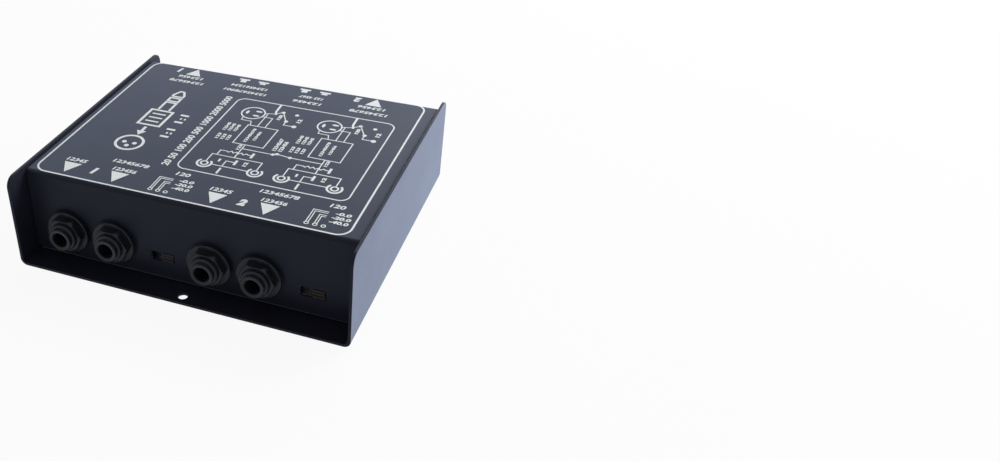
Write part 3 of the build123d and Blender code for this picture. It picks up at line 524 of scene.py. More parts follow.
def turned(bm, sections, place, segments=24, ring=False, material=0):
    """Adds a closed turned solid along Z, then places it.

    A section is (radius, height, flats), with 0 flats for a circle. A ring joins its last section to
    its first. The loops are bridged large and evenly spaced, as small or level ones can be joined the
    wrong way round.
    """
    loops = []
    for index, (radius, _, flats) in enumerate(sections):
        verts = bmesh.ops.create_circle(bm, segments=segments, radius=radius / MM)["verts"]
        for vert in verts:
            if flats:
                half = math.pi / flats
                turn = math.atan2(vert.co.y, vert.co.x) % (2 * half)
                vert.co *= math.cos(half) / math.cos(turn - half)
            vert.co.z = index
        loops.append((verts, list({edge for vert in verts for edge in vert.link_edges})))
    pairs = list(zip(loops, loops[1:]))
    if ring:
        pairs.append((loops[-1], loops[0]))
    faces = []
    for (_, first), (_, second) in pairs:
        faces += bmesh.ops.bridge_loops(bm, edges=first + second)["faces"]
    if not ring:
        for _, edges in (loops[0], loops[-1]):
            faces += bmesh.ops.contextual_create(bm, geom=edges)["faces"]
    for face in faces:
        face.material_index = material
    for (verts, _), (_, height, _) in zip(loops, sections):
        for vert in verts:
            vert.co.z = height / MM
    place = place @ Matrix.Scale(MM, 4)
    bmesh.ops.transform(bm, matrix=place, verts=[vert for verts, _ in loops for vert in verts])


def rounding(radius, top, edge):
    """Sections of an outer edge rounded from a flat top down to its side."""
    turns = [math.pi / 2 * i / ROUNDING_STEPS for i in range(ROUNDING_STEPS + 1)]
    return [(radius - edge + edge * math.sin(a), top - edge + edge * math.cos(a), 0) for a in turns]


def screws_piece(node, name, head_end):
    """Button-head screws with a hexagonal recess, for a CAD node of plain ones.

    head_end is the axis and the side where the heads are, such as (2, -1) for heads at the bottom.
    """
    sizes = bpy.context.scene.box_fasteners
    axis, side = head_end
    out = Vector((0, 0, 0))
    out[axis] = side
    turn = Vector((0, 0, 1)).rotation_difference(out).to_matrix().to_4x4()
    bm = bmesh.new()
    for low, high in solid_boxes(node):
        span = high[axis] - low[axis]
        reach = (high[(axis + 1) % 3] - low[(axis + 1) % 3]) / 2
        seat = (low + high) / 2
        seat[axis] = high[axis] if side > 0 else low[axis]
        shank, point = sizes.shank_radius, 0.4 * MM
        sections = [
            (sizes.drive_radius, -sizes.drive_depth, 6),
            (sizes.drive_radius, -BREAK, 6),
            (sizes.drive_radius + 0.12 * MM, 0.0, 0),
            *rounding(reach, 0.0, sizes.head_edge),
            (reach, BREAK - HEAD_HEIGHT, 0),
            (reach - BREAK, -HEAD_HEIGHT, 0),
            (shank, -HEAD_HEIGHT, 0),
            (shank, point - span, 0),
            (shank - point, -span, 0),
        ]
        turned(bm, sections, Matrix.Translation(seat) @ turn)
    bmesh.ops.recalc_face_normals(bm, faces=bm.faces)
    stand_in(node, name, bm, finish(slot_of_node(node)))


def far_face(bm, axis, side):
    """The largest flat face at one end of a mesh."""
    bmesh.ops.dissolve_limit(bm, angle_limit=FLAT_ANGLE, verts=bm.verts, edges=bm.edges)
    end = max(side * vert.co[axis] for vert in bm.verts)
    flat = [f for f in bm.faces if all(end - side * vert.co[axis] < LEVEL for vert in f.verts)]
    return max(flat, key=lambda face: face.calc_area())


def cover_top():
    """Height of the cover's painted top."""
    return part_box("top_cover")[1].z


# ---- printed marks
class Ink:
    """Flat printed marks, laid on the cover's top and joined into one mesh."""

    def __init__(self):
        self.bm = bmesh.new()
        self.low = cover_top() - INK_SINK
        self.high = cover_top() + bpy.context.scene.box_print.thickness
        self.strokes = []
        self.parts = 0
        self.shift = 0.0  # millimetres along X, for what is drawn next

    def settle(self, mesh, matrix=None):
        """Gives a flat closed mesh the ink's two levels and adds it.

        Each mark is a hair higher than the one before it, so that no two faces lie at one height.
        """
        part = bmesh.new()
        part.from_mesh(mesh)
        bpy.data.meshes.remove(mesh)
        bmesh.ops.remove_doubles(part, verts=part.verts, dist=INK_MERGE)
        if matrix is not None:
            bmesh.ops.transform(part, matrix=matrix, verts=part.verts)
        high = self.high + INK_STEP * (self.parts % INK_STEPS)
        self.parts += 1
        for vert in part.verts:
            vert.co.z = high if vert.co.z > 0 else self.low
        bmesh.ops.recalc_face_normals(part, faces=part.faces)
        placed = mesh_of("ink", part)
        self.bm.from_mesh(placed)
        bpy.data.meshes.remove(placed)

    def place(self, x, y):
        """Matrix that moves a mark to a place in millimetres."""
        return Matrix.Translation(((x + self.shift) * MM, y * MM, 0))

    def line(self, points, width, closed=False):
        """A line of one width through points in millimetres."""
        self.strokes.append(([(x + self.shift, y) for x, y in points], width, closed))

    def draw_lines(self):
        """Lays all the lines drawn so far."""
        for points, width, closed in self.strokes:
            section = poly_curve("ink_section", [(x * width, y * width) for x, y in SQUARE], True)
            section_object = new_object("ink_section", section)
            curve = poly_curve("ink_line", points, closed)
            curve.fill_mode = "NONE"
            curve.bevel_mode = "OBJECT"
            curve.bevel_object = section_object
            curve.use_fill_caps = True
            self.settle(mesh_of_curve(curve))
            bpy.data.objects.remove(section_object)
            bpy.data.curves.remove(section)
        self.strokes = []

    def frame(self, x0, y0, x1, y1, radius, width):
        """A rounded rectangular frame line."""
        corners = (
            (x1 - radius, y1 - radius, 0),
            (x0 + radius, y1 - radius, 90),
            (x0 + radius, y0 + radius, 180),
            (x1 - radius, y0 + radius, 270),
        )
        points = []
        for x, y, start in corners:
            points += arc(x, y, radius, start, start + 90, 8)
        self.line(points, width, closed=True)

    def patch(self, x, y, radius, sides, turn=0.0, stretch=(1.0, 1.0)):
        """A filled regular shape, such as a dot or a triangle."""
        part = bmesh.new()
        bmesh.ops.create_circle(part, cap_ends=True, segments=sides, radius=radius * MM)
        raised = bmesh.ops.extrude_face_region(part, geom=part.faces[:])
        verts = [g for g in raised["geom"] if isinstance(g, bmesh.types.BMVert)]
        bmesh.ops.translate(part, verts=verts, vec=(0, 0, 1))
        mesh = mesh_of("patch", part)
        place = self.place(x, y) @ Matrix.Diagonal((*stretch, 1, 1))
        self.settle(mesh, place @ Matrix.Rotation(math.radians(turn), 4, "Z"))

    def triangle(self, x, base, apex, half_width):
        """A filled triangle that points along Y."""
        height = apex - base
        stretch = (half_width / (math.sqrt(3) / 2), abs(height) / 1.5)
        self.patch(x, base + height / 3, 1.0, 3, 0.0 if height > 0 else 180.0, stretch)

    def figures(self, text, x, y, height, width=None, turn=0.0, bold=0.0, slant=0.0):
        """Plain figures, centred, of a height and width in millimetres."""
        letters = bpy.data.curves.new("figures", "FONT")
        letters.body = text
        letters.extrude = 0.1
        letters.offset = bold
        letters.shear = slant
        letters.resolution_u = 3
        mesh = mesh_of_curve(letters)
        xs = [v.co.x for v in mesh.vertices]
        ys = [v.co.y for v in mesh.vertices]
        tall = height * MM / (max(ys) - min(ys))
        wide = tall if width is None else width * MM / (max(xs) - min(xs))
        place = self.place(x, y) @ Matrix.Rotation(math.radians(turn), 4, "Z")
        place @= Matrix.Diagonal((wide, tall, 1, 1))
        place @= Matrix.Translation((-(max(xs) + min(xs)) / 2, -(max(ys) + min(ys)) / 2, 0))
        self.settle(mesh, place)

    def word(self, text, x, y, height, width, turn=0.0):
        """Slanted figures that stand where a label would be."""
        self.figures(text, x, y, height, width, turn, bold=0.03, slant=0.15)

    def value(self, text, x, y, height, width):
        """Figures that stand where the circuit has a name or a value."""
        self.figures(text, x, y, height, width, 90, bold=0.05)

    def follow_bend(self):
        """Lays the ink that passes the flat top over the cover's rear bend."""
        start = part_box("top_cover")[1].y - BEND
        for step in range(BEND_CUTS):
            geom = self.bm.verts[:] + self.bm.edges[:] + self.bm.faces[:]
            plane = {"plane_co": (0, start + BEND_STEP * step, 0), "plane_no": (0, 1, 0)}
            bmesh.ops.bisect_plane(self.bm, geom=geom, dist=0.0001 * MM, **plane)
        for vert in self.bm.verts:
            past = vert.co.y - start
            if past > 0:
                vert.co.z -= BEND - math.sqrt(BEND**2 - past**2)

    def make(self, name):
        """The finished printed piece."""
        self.draw_lines()
        self.follow_bend()
        make_piece(name, self.bm, finish("print_ink"), "case")


def poly_curve(name, points, closed):
    """A flat curve of straight lines through points in millimetres."""
    curve = bpy.data.curves.new(name, "CURVE")
    curve.dimensions = "2D"
    spline = curve.splines.new("POLY")
    spline.points.add(len(points) - 1)
    spline.use_cyclic_u = closed
    for point, (x, y) in zip(spline.points, points):
        point.co = (x * MM, y * MM, 0.0, 1.0)
    return curve


def mesh_of_curve(curve):
    """Mesh of a curve or text, whose object and data are then removed."""
    shape = new_object("shape", curve)
    bpy.context.view_layer.update()
    graph = bpy.context.evaluated_depsgraph_get()
    mesh = bpy.data.meshes.new_from_object(shape.evaluated_get(graph))
    bpy.data.objects.remove(shape)
    bpy.data.curves.remove(curve)
    return mesh


def arc(x, y, radius, start, stop, steps):
    """Points along an arc, with angles in degrees."""
    turn = [math.radians(start + (stop - start) * i / steps) for i in range(steps + 1)]
    return [(x + radius * math.cos(a), y + radius * math.sin(a)) for a in turn]


# ---- operators
class BoxOperator:
    """What every operator of the box shares."""

    bl_options = {"REGISTER", "UNDO"}


class BOX_OT_finishes(BoxOperator, bpy.types.Operator):
    """Makes the effect groups and the finishes of every piece"""

    bl_idname = "box.finishes"
    bl_label = "Finishes"

    def execute(self, context):
        grain_group()
        wear_and_highlight_group()
        dust_group()
        scene = context.scene
        case, front = scene.box_case, scene.box_front
        for name, wear_and_highlight, sheen, specular, gloss in (
            ("case_paint", 0.2, 0.74, 0.16, COOL_GLOSS),
            ("tray_paint", 0.4, 0.84, 0.2, (0.58, 0.7, 1.0)),
            # a duller copy of the paint with less sheen: painted shade for the tray's inside and rims
            ("tray_shaded_inside", 0.1, 0.25, 0.16, COOL_GLOSS),
        ):
            finish_material(
                name, case.paint, 0.42, grain=2200.0, depth=0.012, worn_and_lit=case.bare_and_lit_edge, wear_and_highlight=wear_and_highlight,
                wear_and_highlight_width=0.45 * MM, sheen=sheen, specular=specular, tint_of_gloss=gloss,
            )
        finish_material("print_ink", scene.box_print.ink, 0.5, grain=3000.0, depth=0.006, mottle=0.05)
        # the lighter edge colours of the jacks and the knob ribs are partly wear and partly painted
        # highlights
        finish_material(
            "jack_plastic", front.plastic, 0.34, grain=3500.0, depth=0.006, worn_and_lit=(0.05, 0.055, 0.07),
            wear_and_highlight=0.7, sheen=0.1, specular=0.28, tint_of_gloss=(0.75, 0.85, 1.0),
        )
        finish_material(
            "knob_plastic", (0.016, 0.0135, 0.0145), 0.4, grain=4000.0, depth=0.006,
            worn_and_lit=(0.11, 0.085, 0.085), wear_and_highlight=0.9, specular=0.25,
        )
        finish_material(
            "button_plastic", (0.011, 0.011, 0.0125), 0.3, grain=3500.0, depth=0.004,
            worn_and_lit=(0.06, 0.06, 0.065), wear_and_highlight=0.4, specular=0.4,
        )
        finish_material("foot_rubber", (0.022, 0.022, 0.022), 0.75, grain=1800.0, depth=0.03, dust=0.08)
        finish_material(
            "screw_black", (0.03, 0.03, 0.032), 0.35, metallic=0.8, grain=3000.0, depth=0.004,
            worn_and_lit=(0.25, 0.25, 0.25), wear_and_highlight=0.4, wear_and_highlight_width=0.15 * MM,
        )
        finish_material("zinc_steel", (0.58, 0.59, 0.6), 0.32, metallic=1.0, grain=1500.0, depth=0.003)
        finish_material("contact_metal", (0.78, 0.58, 0.27), 0.25, metallic=1.0, depth=0.002)
        finish_material(
            "connector_shell", (0.01, 0.01, 0.0115), 0.36, depth=0.006, worn_and_lit=(0.09, 0.09, 0.095),
            wear_and_highlight=0.6, specular=0.4,
        )
        finish_material("insert_plastic", (0.018, 0.018, 0.02), 0.45, grain=3000.0, depth=0.005)
        finish_material(
            "board_laminate", (0.02, 0.11, 0.05), 0.3, grain=700.0, depth=0.01, mottle=0.3, coat=0.4
        )
        finish_material(
            "lamination_steel", (0.3, 0.3, 0.31), 0.45, metallic=0.9, grain=1200.0,
            stripes=("Y", 0.5 * MM, (0.06, 0.06, 0.065), 0.05 * MM),
        )
        finish_material("bobbin_plastic", (0.68, 0.64, 0.52), 0.5, depth=0.006)
        # the darker colour between the turns is painted shade in the grooves between them
        finish_material(
            "copper_wire", (0.62, 0.22, 0.07), 0.3, metallic=0.6, grain=1200.0,
            stripes=("Z", 0.4 * MM, (0.22, 0.07, 0.02), 0.1 * MM),
        )
        finish_material("resistor_body", (0.58, 0.45, 0.27), 0.4, depth=0.01, coat=0.2)
        finish_material("capacitor_body", (0.7, 0.3, 0.05), 0.35, grain=900.0, depth=0.03, coat=0.3)
        for colour, value in BANDS.items():
            finish_material(f"band_{colour}", value, 0.4, depth=0.003)
        return {"FINISHED"}


class BOX_OT_dress_nodes(BoxOperator, bpy.types.Operator):
    """Gives every CAD node the finish of its material slot"""

    bl_idname = "box.dress_nodes"
    bl_label = "CAD Node Finishes"

    def execute(self, context):
        for name, node in frame["nodes"].items():
            node.data.materials.clear()
            node.data.materials.append(finish(slot_of_node(name)))
        return {"FINISHED"}


class BOX_OT_tray(BoxOperator, bpy.types.Operator):
    """Folded tray with paint-rounded edges; its inside and rims take a duller copy of the paint, which
    is painted shade
    """

    bl_idname = "box.tray"
    bl_label = "Tray"

    def execute(self, context):
        bm = soften(merged_copy("chassis_tray"), context.scene.box_case.edge_radius)
        bm.normal_update()
        # inward faces and rims take the duller copy of the paint: painted shade
        for face in bm.faces:
            outward = face.normal.x * math.copysign(1, face.calc_center_median().x)
            face.material_index = 0 if outward > FACING or face.normal.z < -FACING else 1
        stand_in("chassis_tray", "painted_tray", bm, [finish("tray_paint"), finish("tray_shaded_inside")])
        return {"FINISHED"}


class BOX_OT_cover(BoxOperator, bpy.types.Operator):
    """Folded cover with paint-rounded edges"""

    bl_idname = "box.cover"
    bl_label = "Cover"

    def execute(self, context):
        radius = context.scene.box_case.edge_radius
        softened_piece("top_cover", "painted_cover", finish("case_paint"), radius)
        return {"FINISHED"}


class BOX_OT_feet(BoxOperator, bpy.types.Operator):
    """Rubber feet, rounded below and hollow in the middle"""

    bl_idname = "box.feet"
    bl_label = "Feet"

    def execute(self, context):
        sizes = context.scene.box_fasteners
        bm = bmesh.new()
        for low, high in solid_boxes("rubber_feet"):
            radius, tall = (high.x - low.x) / 2, high.z - low.z
            hollow, slope = sizes.foot_hollow, 0.3 * MM
            sections = [
                (radius, 0.0, 0),
                (radius, tall / 2, 0),
                *reversed(rounding(radius, tall, sizes.foot_edge)),
                (hollow + slope, tall, 0),
                (hollow, tall - slope, 0),
                (hollow - 0.2 * MM, tall / 2, 0),
            ]
            seat = Vector(((low.x + high.x) / 2, (low.y + high.y) / 2, high.z))
            turned(bm, sections, Matrix.Translation(seat) @ Matrix.Rotation(math.pi, 4, "X"), 40)
        bmesh.ops.recalc_face_normals(bm, faces=bm.faces)
        stand_in("rubber_feet", "moulded_feet", bm, finish("foot_rubber"))
        return {"FINISHED"}


class BOX_OT_screws(BoxOperator, bpy.types.Operator):
    """Button-head screws of the cover, the board and the output connectors"""

    bl_idname = "box.screws"
    bl_label = "Screws"

    def execute(self, context):
        screws_piece("cover_screws", "cover_button_screws", (2, -1))
        screws_piece("standoff_screws", "standoff_button_screws", (2, -1))
        screws_piece("board_screws", "board_button_screws", (2, 1))
        screws_piece("output_screws", "output_button_screws", (1, 1))
        return {"FINISHED"}


class BOX_OT_jack_bodies(BoxOperator, bpy.types.Operator):
    """Jack bodies with their threaded bushings"""

    bl_idname = "box.jack_bodies"
    bl_label = "Jack Bodies"

    def execute(self, context):
        radius = context.scene.box_front.edge_radius / 2
        for jack in JACKS:
            node = f"{jack}_jack_body"
            softened_piece(node, f"{jack}_moulded_jack", finish("jack_plastic"), radius)
        return {"FINISHED"}


class BOX_OT_jack_fixings(BoxOperator, bpy.types.Operator):
    """Hexagonal jack nuts and the round collars behind them, with moulded edges"""

    bl_idname = "box.jack_fixings"
    bl_label = "Jack Nuts and Collars"

    def execute(self, context):
        radius, plastic = context.scene.box_front.edge_radius, finish("jack_plastic")
        for kind in ("nuts", "collars"):
            softened_piece(f"jack_{kind}", f"moulded_{kind}", plastic, radius, SQUARE_ANGLE)
        return {"FINISHED"}


class BOX_OT_pad_knobs(BoxOperator, bpy.types.Operator):
    """Ribbed knobs of the pad switches"""

    bl_idname = "box.pad_knobs"
    bl_label = "Pad Knobs"

    def execute(self, context):
        for pad in PADS:
            softened_piece(f"{pad}_switch_knob", f"{pad}_ribbed_knob", finish("knob_plastic"), BREAK)
        return {"FINISHED"}


class BOX_OT_outputs(BoxOperator, bpy.types.Operator):
    """Shells and inserts of the balanced outputs"""

    bl_idname = "box.outputs"
    bl_label = "Outputs"

    def execute(self, context):
        radius = context.scene.box_rear.edge_radius
        for output in OUTPUTS:
            shell, insert = finish("connector_shell"), finish("insert_plastic")
            softened_piece(f"{output}_shell", f"{output}_cast_shell", shell, radius)
            softened_piece(f"{output}_insert", f"{output}_moulded_insert", insert, radius)
        return {"FINISHED"}


class BOX_OT_buttons(BoxOperator, bpy.types.Operator):
    """Dished caps of the push switches"""

    bl_idname = "box.buttons"
    bl_label = "Buttons"

    def execute(self, context):
        sizes = context.scene.box_rear
        for push in PUSHES:
            node = f"{push}_button_cap"
            bm = merged_copy(node)
            face = far_face(bm, 1, 1)
            for inset, deeper, even in (
                (0.15 * MM, 0.0, True),
                (sizes.dish_margin, sizes.dish_depth, False),
                (0.5 * MM, 0.05 * MM, False),
            ):
                size = {"thickness": inset, "depth": -deeper, "use_even_offset": even}
                bmesh.ops.inset_region(bm, faces=[face], **size)
            stand_in(node, f"{push}_dished_cap", bm, finish("button_plastic"))
        return {"FINISHED"}


class BOX_OT_board_parts(BoxOperator, bpy.types.Operator):
    """Colour bands of the resistors, and dipped capacitors"""

    bl_idname = "box.board_parts"
    bl_label = "Board Parts"

    def execute(self, context):
        sizes = context.scene.box_board
        wide = sizes.band_width / 2
        across = Matrix.Rotation(math.pi / 2, 4, "Y")
        bm = bmesh.new()
        for low, high in solid_boxes("pad_resistors"):
            radius = (high.y - low.y) / 2
            middle = (low + high) / 2
            middle.z = high.z - radius
            outer, inner = radius + 0.03 * MM, radius - 0.05 * MM
            sections = [(outer, -wide, 0), (outer, wide, 0), (inner, wide, 0), (inner, -wide, 0)]
            for index, offset in enumerate((-1.9, -0.9, 0.1, 1.9)):
                place = Matrix.Translation(middle + Vector((offset * MM, 0, 0))) @ across
                turned(bm, sections, place, ring=True, material=index % len(BANDS))
        bmesh.ops.recalc_face_normals(bm, faces=bm.faces)
        make_piece("resistor_bands", bm, [finish(f"band_{colour}") for colour in BANDS], "case")
        dip = sizes.dip_radius
        softened_piece("ground_capacitors", "dipped_capacitors", finish("capacitor_body"), dip)
        return {"FINISHED"}


class BOX_OT_print(BoxOperator, bpy.types.Operator):
    """Frames, marks, figures and circuit printed on the top"""

    bl_idname = "box.print"
    bl_label = "Printed Top"

    def execute(self, context):
        self.frames()
        self.front_marks()
        self.rear_marks()
        self.pictogram()
        self.circuit()
        return {"FINISHED"}

    def frames(self):
        """The outer frame line, and the one round the circuit."""
        ink = Ink()
        ink.frame(-68.2, -51.2, 65.7, 56.1, 5.4, 0.78)
        ink.frame(-14.9, -29.5, 58.0, 35.25, 3.8, 0.6)
        ink.make("print_frames")

    def front_marks(self):
        """Triangles, channel figures and labels along the jacks."""
        ink = Ink()
        for channel, shift in (("1", 0.0), ("2", 65.0)):
            ink.shift = shift
            for x in (-55.1, -33.2):
                ink.triangle(x, -41.4, -48.8, 4.0)
            ink.figures(channel, -43.8, -43.9, 4.6, bold=0.07, slant=0.2)
            ink.word("12345", -54.8, -39.0, 2.5, 9.3)
            ink.word("12345678", -32.6, -33.6, 2.5, 16.3)
            ink.word("123456", -32.5, -39.2, 2.5, 10.6)
            ink.word("120", -8.9, -33.7, 2.6, 6.2)
            for row, (value, width) in enumerate((("-0.0", 6.2), ("-20.0", 7.5), ("-40.0", 7.5))):
                ink.figures(value, -5.1, -38.2 - 2.9 * row, 2.1, width, bold=0.04, slant=0.15)
            self.pad_mark(ink)
        ink.make("print_front_marks")

    def pad_mark(self, ink):
        """Nested angle lines that lead from the slot's three places to the values."""
        right, foot = -10.8, -47.0
        for left, y in ((-16.9, -38.3), (-13.5, -40.9)):
            ink.line([(right, y), (left, y), (left, foot)], 0.4)
            ink.line([(right, y - 1.0), (left + 1.0, y - 1.0), (left + 1.0, foot)], 0.4)
        for x in (-16.4, -13.0, -9.7):
            ink.line(arc(x, -47.8, 0.8, 0, 330, 11), 0.45, closed=True)

    def rear_marks(self):
        """Triangles, channel figures and labels along the outputs, which read from the rear."""
        ink = Ink()
        for channel, shift in (("1", -45.3), ("2", 43.4)):
            ink.shift = shift
            ink.triangle(0.0, 48.4, 55.0, 3.75)
            ink.figures(channel, -8.2, 51.7, 4.2, turn=180, bold=0.07, slant=0.2)
            ink.word("123456", 0.0, 46.1, 2.4, 12.5, 180)
            ink.word("12345678", 0.0, 41.4, 2.4, 17.3, 180)
        switches = ((-15.4, "12345678901", "1234561234", 21.0), (14.9, "123456", "123 4567", 13.4))
        for shift, near, far, wide in switches:
            ink.shift = shift
            ink.word(far, 0.0, 46.3, 2.3, 0.85 * wide, 180)
            ink.word(near, 0.0, 41.3, 2.3, wide, 180)
            self.push_mark(ink, -4.9, 1.0)
            self.push_mark(ink, 4.6, 0.55)
        ink.make("print_rear_marks")

    def push_mark(self, ink, x, rise):
        """A button seen from the side, standing out or pushed in."""
        ink.patch(x, 52.9, 1.0, 4, 45.0, (3.6, 0.9))
        ink.patch(x, 51.4, 1.0, 4, 45.0, (2.0, 1.9 * rise))

    def pictogram(self):
        """A jack plug, an arrow and a three-pin connector, and a row of plain figures."""
        ink = Ink()
        ink.shift = -42.0
        ink.line(arc(0.0, -18.5, 5.9, 0, 350, 35), 1.2, closed=True)
        for x, y in ((-2.4, -18.5), (2.4, -18.5), (0.0, -21.1)):
            ink.patch(x, y, 1.05, 16)
        ink.line([(0.0, -9.5), (0.0, -4.0)], 1.3)
        ink.triangle(0.0, -7.8, -11.4, 2.2)
        ink.line([(-5.2, -2.0), (5.2, -2.0), (5.2, 11.5), (-5.2, 11.5)], 1.2, closed=True)
        ink.line([(-2.6, 12.6), (-2.6, 19.8), (2.6, 19.8), (2.6, 12.6)], 1.1)
        ink.line([(-2.6, 21.3), (2.6, 21.3), (2.6, 24.4), (-2.6, 24.4)], 1.1, closed=True)
        ink.line([(-2.6, 26.0), (2.6, 26.0), (2.6, 27.6), (0.9, 31.2)], 1.1)
        ink.line([(-2.6, 26.0), (-2.6, 27.6), (-0.9, 31.2), (0.9, 31.2)], 1.1)
        for y in (1.4, 4.8, 8.2):
            ink.line([(-3.2, y), (3.2, y)], 1.0)
        ink.shift = 0.0
        ink.figures("1:1 1:1", -30.6, 1.0, 4.0, 21.0, turn=90, bold=0.03)
        ink.figures("20 50 100 200 500 1000 2000 5000", -19.7, 2.5, 3.3, 64.5, turn=90, bold=0.03)
        ink.make("print_pictogram")

    def circuit(self):
        """Circuit drawing: each channel's parts, and the ground line that joins them."""
        ink = Ink()
        for near, far, lead, figures in ((0.0, 0.0, 4.5, 2.9), (33.6, 35.5, 39.7, 41.5)):
            ink.shift = far - 3.5
            self.output_half(ink)
            ink.shift = near - 1.3
            self.transformer_half(ink)
            ink.shift = 0.0
            ink.line([(lead, -3.3), (lead, -14.5)], 0.5)
            ink.value("123", figures, -5.8, 1.5, 4.4)
            ink.shift = near
            self.input_half(ink)
        ink.shift = 0.0
        ink.line([(4.5, -6.6), (18.2, -6.6)], 0.5)
        ink.line([(19.8, -5.7), (25.9, -6.6), (39.5, -6.6)], 0.5)
        for x, y in ((18.3, -6.6), (19.8, -5.7), (25.8, -6.6)):
            ink.patch(x, y, 0.9, 12)
        ink.value("1234567", 17.3, 1.7, 1.9, 10.4)
        ink.value("123456", 19.9, 1.0, 1.9, 8.6)
        ink.make("print_circuit")

    def output_half(self, ink):
        """Three-pin connector and ground-lift switch of one channel."""
        ink.line(arc(0.0, 23.8, 5.2, 0, 350, 35), 0.7, closed=True)
        flat, tall = (2.1, 0.9), (0.9, 2.1)
        for x, y, stretch in ((2.0, 25.8, flat), (2.0, 21.9, flat), (-2.7, 23.8, tall)):
            ink.patch(x, y, 0.75, 12, 0.0, stretch)
        ink.line([(8.7, 35.2), (8.9, 28.4), (9.9, 25.6)], 1.0)
        ink.line([(5.2, 25.2), (9.4, 26.3), (12.2, 28.8)], 0.45)
        ink.line([(5.0, 22.0), (9.9, 22.0), (9.9, 13.4)], 0.45)
        ink.line([(6.4, 25.2), (6.4, 13.4)], 0.45)
        ink.line([(-2.9, 18.9), (-2.6, 16.6), (2.1, 16.6), (3.0, 13.4)], 0.45)
        ink.line([(12.3, 28.7), (16.2, 21.6), (16.4, 18.2), (21.2, 18.4)], 0.5)
        for x, y in ((12.3, 28.7), (16.3, 21.6), (18.8, 28.4)):
            ink.patch(x, y, 0.95, 12)
        ink.patch(21.2, 18.3, 1.15, 12)
        ink.figures("120", 12.4, 24.0, 1.7, 4.6, turn=90, bold=0.06)
        ink.value("12", 21.6, 23.8, 2.0, 3.4)

    def transformer_half(self, ink):
        """Transformer of one channel, with its values."""
        ink.line([(0.0, -3.2), (13.8, -3.2), (13.8, 13.2), (0.0, 13.2)], 0.5, closed=True)
        ink.value("12345678", 4.3, 5.1, 1.5, 12.0)
        ink.value("123456", 7.5, 5.4, 1.4, 7.8)
        for column in range(3):
            x = -8.2 + 2.4 * column
            ink.value("12345", x, 9.0, 1.5, 7.0 - 0.5 * column)
            ink.value("123", x, 0.2, 1.5, 4.8 - 0.3 * column)

    def input_half(self, ink):
        """Pad resistor and the two jacks of one channel."""
        zigzag = [(0.4 + 1.1 * i, -10.6 + (0.6 if i % 2 else -0.6)) for i in range(8)]
        start, end = [(-3.3, -14.5), (-3.3, -10.6), (-0.4, -10.6)], [(9.0, -10.6), (10.8, -10.6)]
        ink.line([*start, *zigzag, *end], 0.5)
        ink.line([(10.9, -8.6), (10.9, -12.6)], 1.1)
        ink.line([(-5.2, -20.4), (-5.2, -14.5), (17.0, -14.5), (17.0, -20.4)], 0.5)
        ink.line([(-1.8, -22.4), (13.6, -22.4)], 0.5)
        ink.line([(2.6, -22.4), (2.6, -18.0), (6.4, -18.0)], 0.5)
        ink.line([(6.7, -16.2), (6.7, -20.0)], 1.1)
        ink.line([(2.8, -23.8), (2.8, -28.2)], 0.9)
        ink.line([(-0.3, -17.2), (-0.3, -19.4)], 0.9)
        ink.value("12", 10.9, -17.8, 1.7, 3.4)
        for x in (-5.2, 17.0):
            ink.line(arc(x, -22.4, 3.0, 135, 405, 20), 0.95)
            ink.line(arc(x, -22.4, 1.45, 0, 340, 17), 0.75, closed=True)


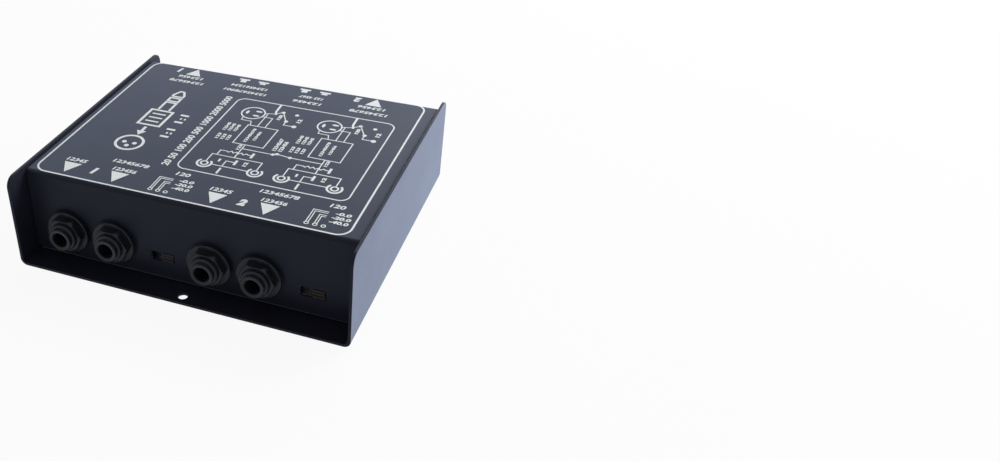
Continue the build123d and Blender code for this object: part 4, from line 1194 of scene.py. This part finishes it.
class BOX_OT_stage(BoxOperator, bpy.types.Operator):
    """Pale floor, soft lamps and camera"""

    bl_idname = "box.stage"
    bl_label = "Stage"

    def execute(self, context):
        stage = context.scene.box_stage
        self.floor(stage)
        self.surround(context.scene, stage)
        self.lamp("key_lamp", (0.4, 1.1, 0.6), 1.3, stage.key_power)
        self.lamp("side_lamp", (0.9, 0.9, 0.9), 1.0, stage.side_power)
        self.camera(context.scene, stage)
        context.scene.view_settings.view_transform = "Standard"
        return {"FINISHED"}

    def floor(self, stage):
        """Floor that takes shadows and is seen as nearly white."""
        bm = bmesh.new()
        bmesh.ops.create_grid(bm, x_segments=1, y_segments=1, size=4.0)
        bmesh.ops.translate(bm, verts=bm.verts, vec=(0, 0, -0.02 * MM))
        mesh = mesh_of("floor", bm)
        material = bpy.data.materials.new("pale_floor")
        material.use_nodes = True
        tree = material.node_tree
        surface = tree.nodes["Principled BSDF"]
        matt = {"Base Color": (*stage.floor, 1.0), "Roughness": 0.9, "Specular IOR Level": 0.1}
        set_inputs(tree, surface, matt)
        white = add_node(tree, "ShaderNodeEmission", {"Color": (1.0, 1.0, 1.0, 1.0), "Strength": 1.0})
        both = add_node(
            tree,
            "ShaderNodeMixShader",
            {
                "Fac": combined(tree, "MULTIPLY", seen_ray(tree), stage.floor_lift),
                1: surface.outputs["BSDF"],
                2: white.outputs["Emission"],
            },
        )
        set_inputs(tree, tree.nodes["Material Output"], {"Surface": both.outputs["Shader"]})
        mesh.materials.append(material)
        new_object("floor", mesh)

    def surround(self, scene, stage):
        """White surround that lights the box only softly."""
        world = bpy.data.worlds.new("surround")
        world.use_nodes = True
        tree = world.node_tree
        strength = mapped(tree, seen_ray(tree), 0.0, 1.0, stage.surround)
        glow = {"Color": (1.0, 1.0, 1.0, 1.0), "Strength": strength}
        set_inputs(tree, tree.nodes["Background"], glow)
        scene.world = world

    def lamp(self, name, place, size, power):
        """Square lamp that shines at the box."""
        light = bpy.data.lights.new(name, "AREA")
        light.shape = "SQUARE"
        light.size = size
        light.energy = power
        lamp = new_object(name, light)
        lamp.location = place
        lamp.rotation_mode = "QUATERNION"
        lamp.rotation_quaternion = (Vector(LAMP_AIM) - Vector(place)).to_track_quat("-Z", "Y")

    def camera(self, scene, stage):
        """Camera in front of the box, above it and to its right."""
        lens = bpy.data.cameras.new("camera")
        lens.lens = stage.lens
        lens.sensor_width = 36.0
        lens.shift_x = stage.shift
        lens.clip_start = 0.01
        camera = new_object("camera", lens)
        turn, rise = stage.azimuth, stage.elevation
        level, front = math.cos(rise), -math.cos(turn)
        back = Vector((math.sin(turn) * level, front * level, math.sin(rise)))
        right = Vector((0, 0, 1)).cross(back).normalized()
        up = back.cross(right)
        facing = Matrix((right, up, back)).transposed().to_4x4()
        place = Matrix.Translation(Vector(CAMERA_PLACE) * MM)
        camera.matrix_world = place @ facing @ Matrix.Rotation(stage.roll, 4, "Z")
        scene.camera = camera


class BOX_PT_panel(bpy.types.Panel):
    """Lists the steps and the sizes of the direct box"""

    bl_label = "Direct Box"
    bl_idname = "BOX_PT_panel"
    bl_space_type = "VIEW_3D"
    bl_region_type = "UI"
    bl_category = "Direct Box"

    def draw(self, context):
        """Draws a button for each step and a field for each size or colour."""
        for operator in OPERATORS:
            self.layout.operator(operator.bl_idname)
        for name in SETTINGS:
            group = getattr(context.scene, name)
            column = self.layout.column()
            for key in group.__annotations__:
                column.prop(group, key)


OPERATORS = (
    BOX_OT_finishes,
    BOX_OT_dress_nodes,
    BOX_OT_tray,
    BOX_OT_cover,
    BOX_OT_feet,
    BOX_OT_screws,
    BOX_OT_jack_bodies,
    BOX_OT_jack_fixings,
    BOX_OT_pad_knobs,
    BOX_OT_outputs,
    BOX_OT_buttons,
    BOX_OT_board_parts,
    BOX_OT_print,
    BOX_OT_stage,
)


def register():
    """Adds the classes, and the settings to the scene."""
    for cls in (*SETTINGS.values(), *OPERATORS, BOX_PT_panel):
        bpy.utils.register_class(cls)
    for name, cls in SETTINGS.items():
        setattr(bpy.types.Scene, name, PointerProperty(type=cls))


def unregister():
    """Takes away what register added."""
    for name in SETTINGS:
        delattr(bpy.types.Scene, name)
    for cls in reversed((*SETTINGS.values(), *OPERATORS, BOX_PT_panel)):
        bpy.utils.unregister_class(cls)


def main():
    """Builds everything in order."""
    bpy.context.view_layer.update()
    register()
    bpy.ops.box.finishes()
    bpy.ops.box.dress_nodes()
    bpy.ops.box.tray()
    bpy.ops.box.cover()
    bpy.ops.box.feet()
    bpy.ops.box.screws()
    bpy.ops.box.jack_bodies()
    bpy.ops.box.jack_fixings()
    bpy.ops.box.pad_knobs()
    bpy.ops.box.outputs()
    bpy.ops.box.buttons()
    bpy.ops.box.board_parts()
    bpy.ops.box.print()
    bpy.ops.box.stage()


if __name__ == "__main__":
    main()
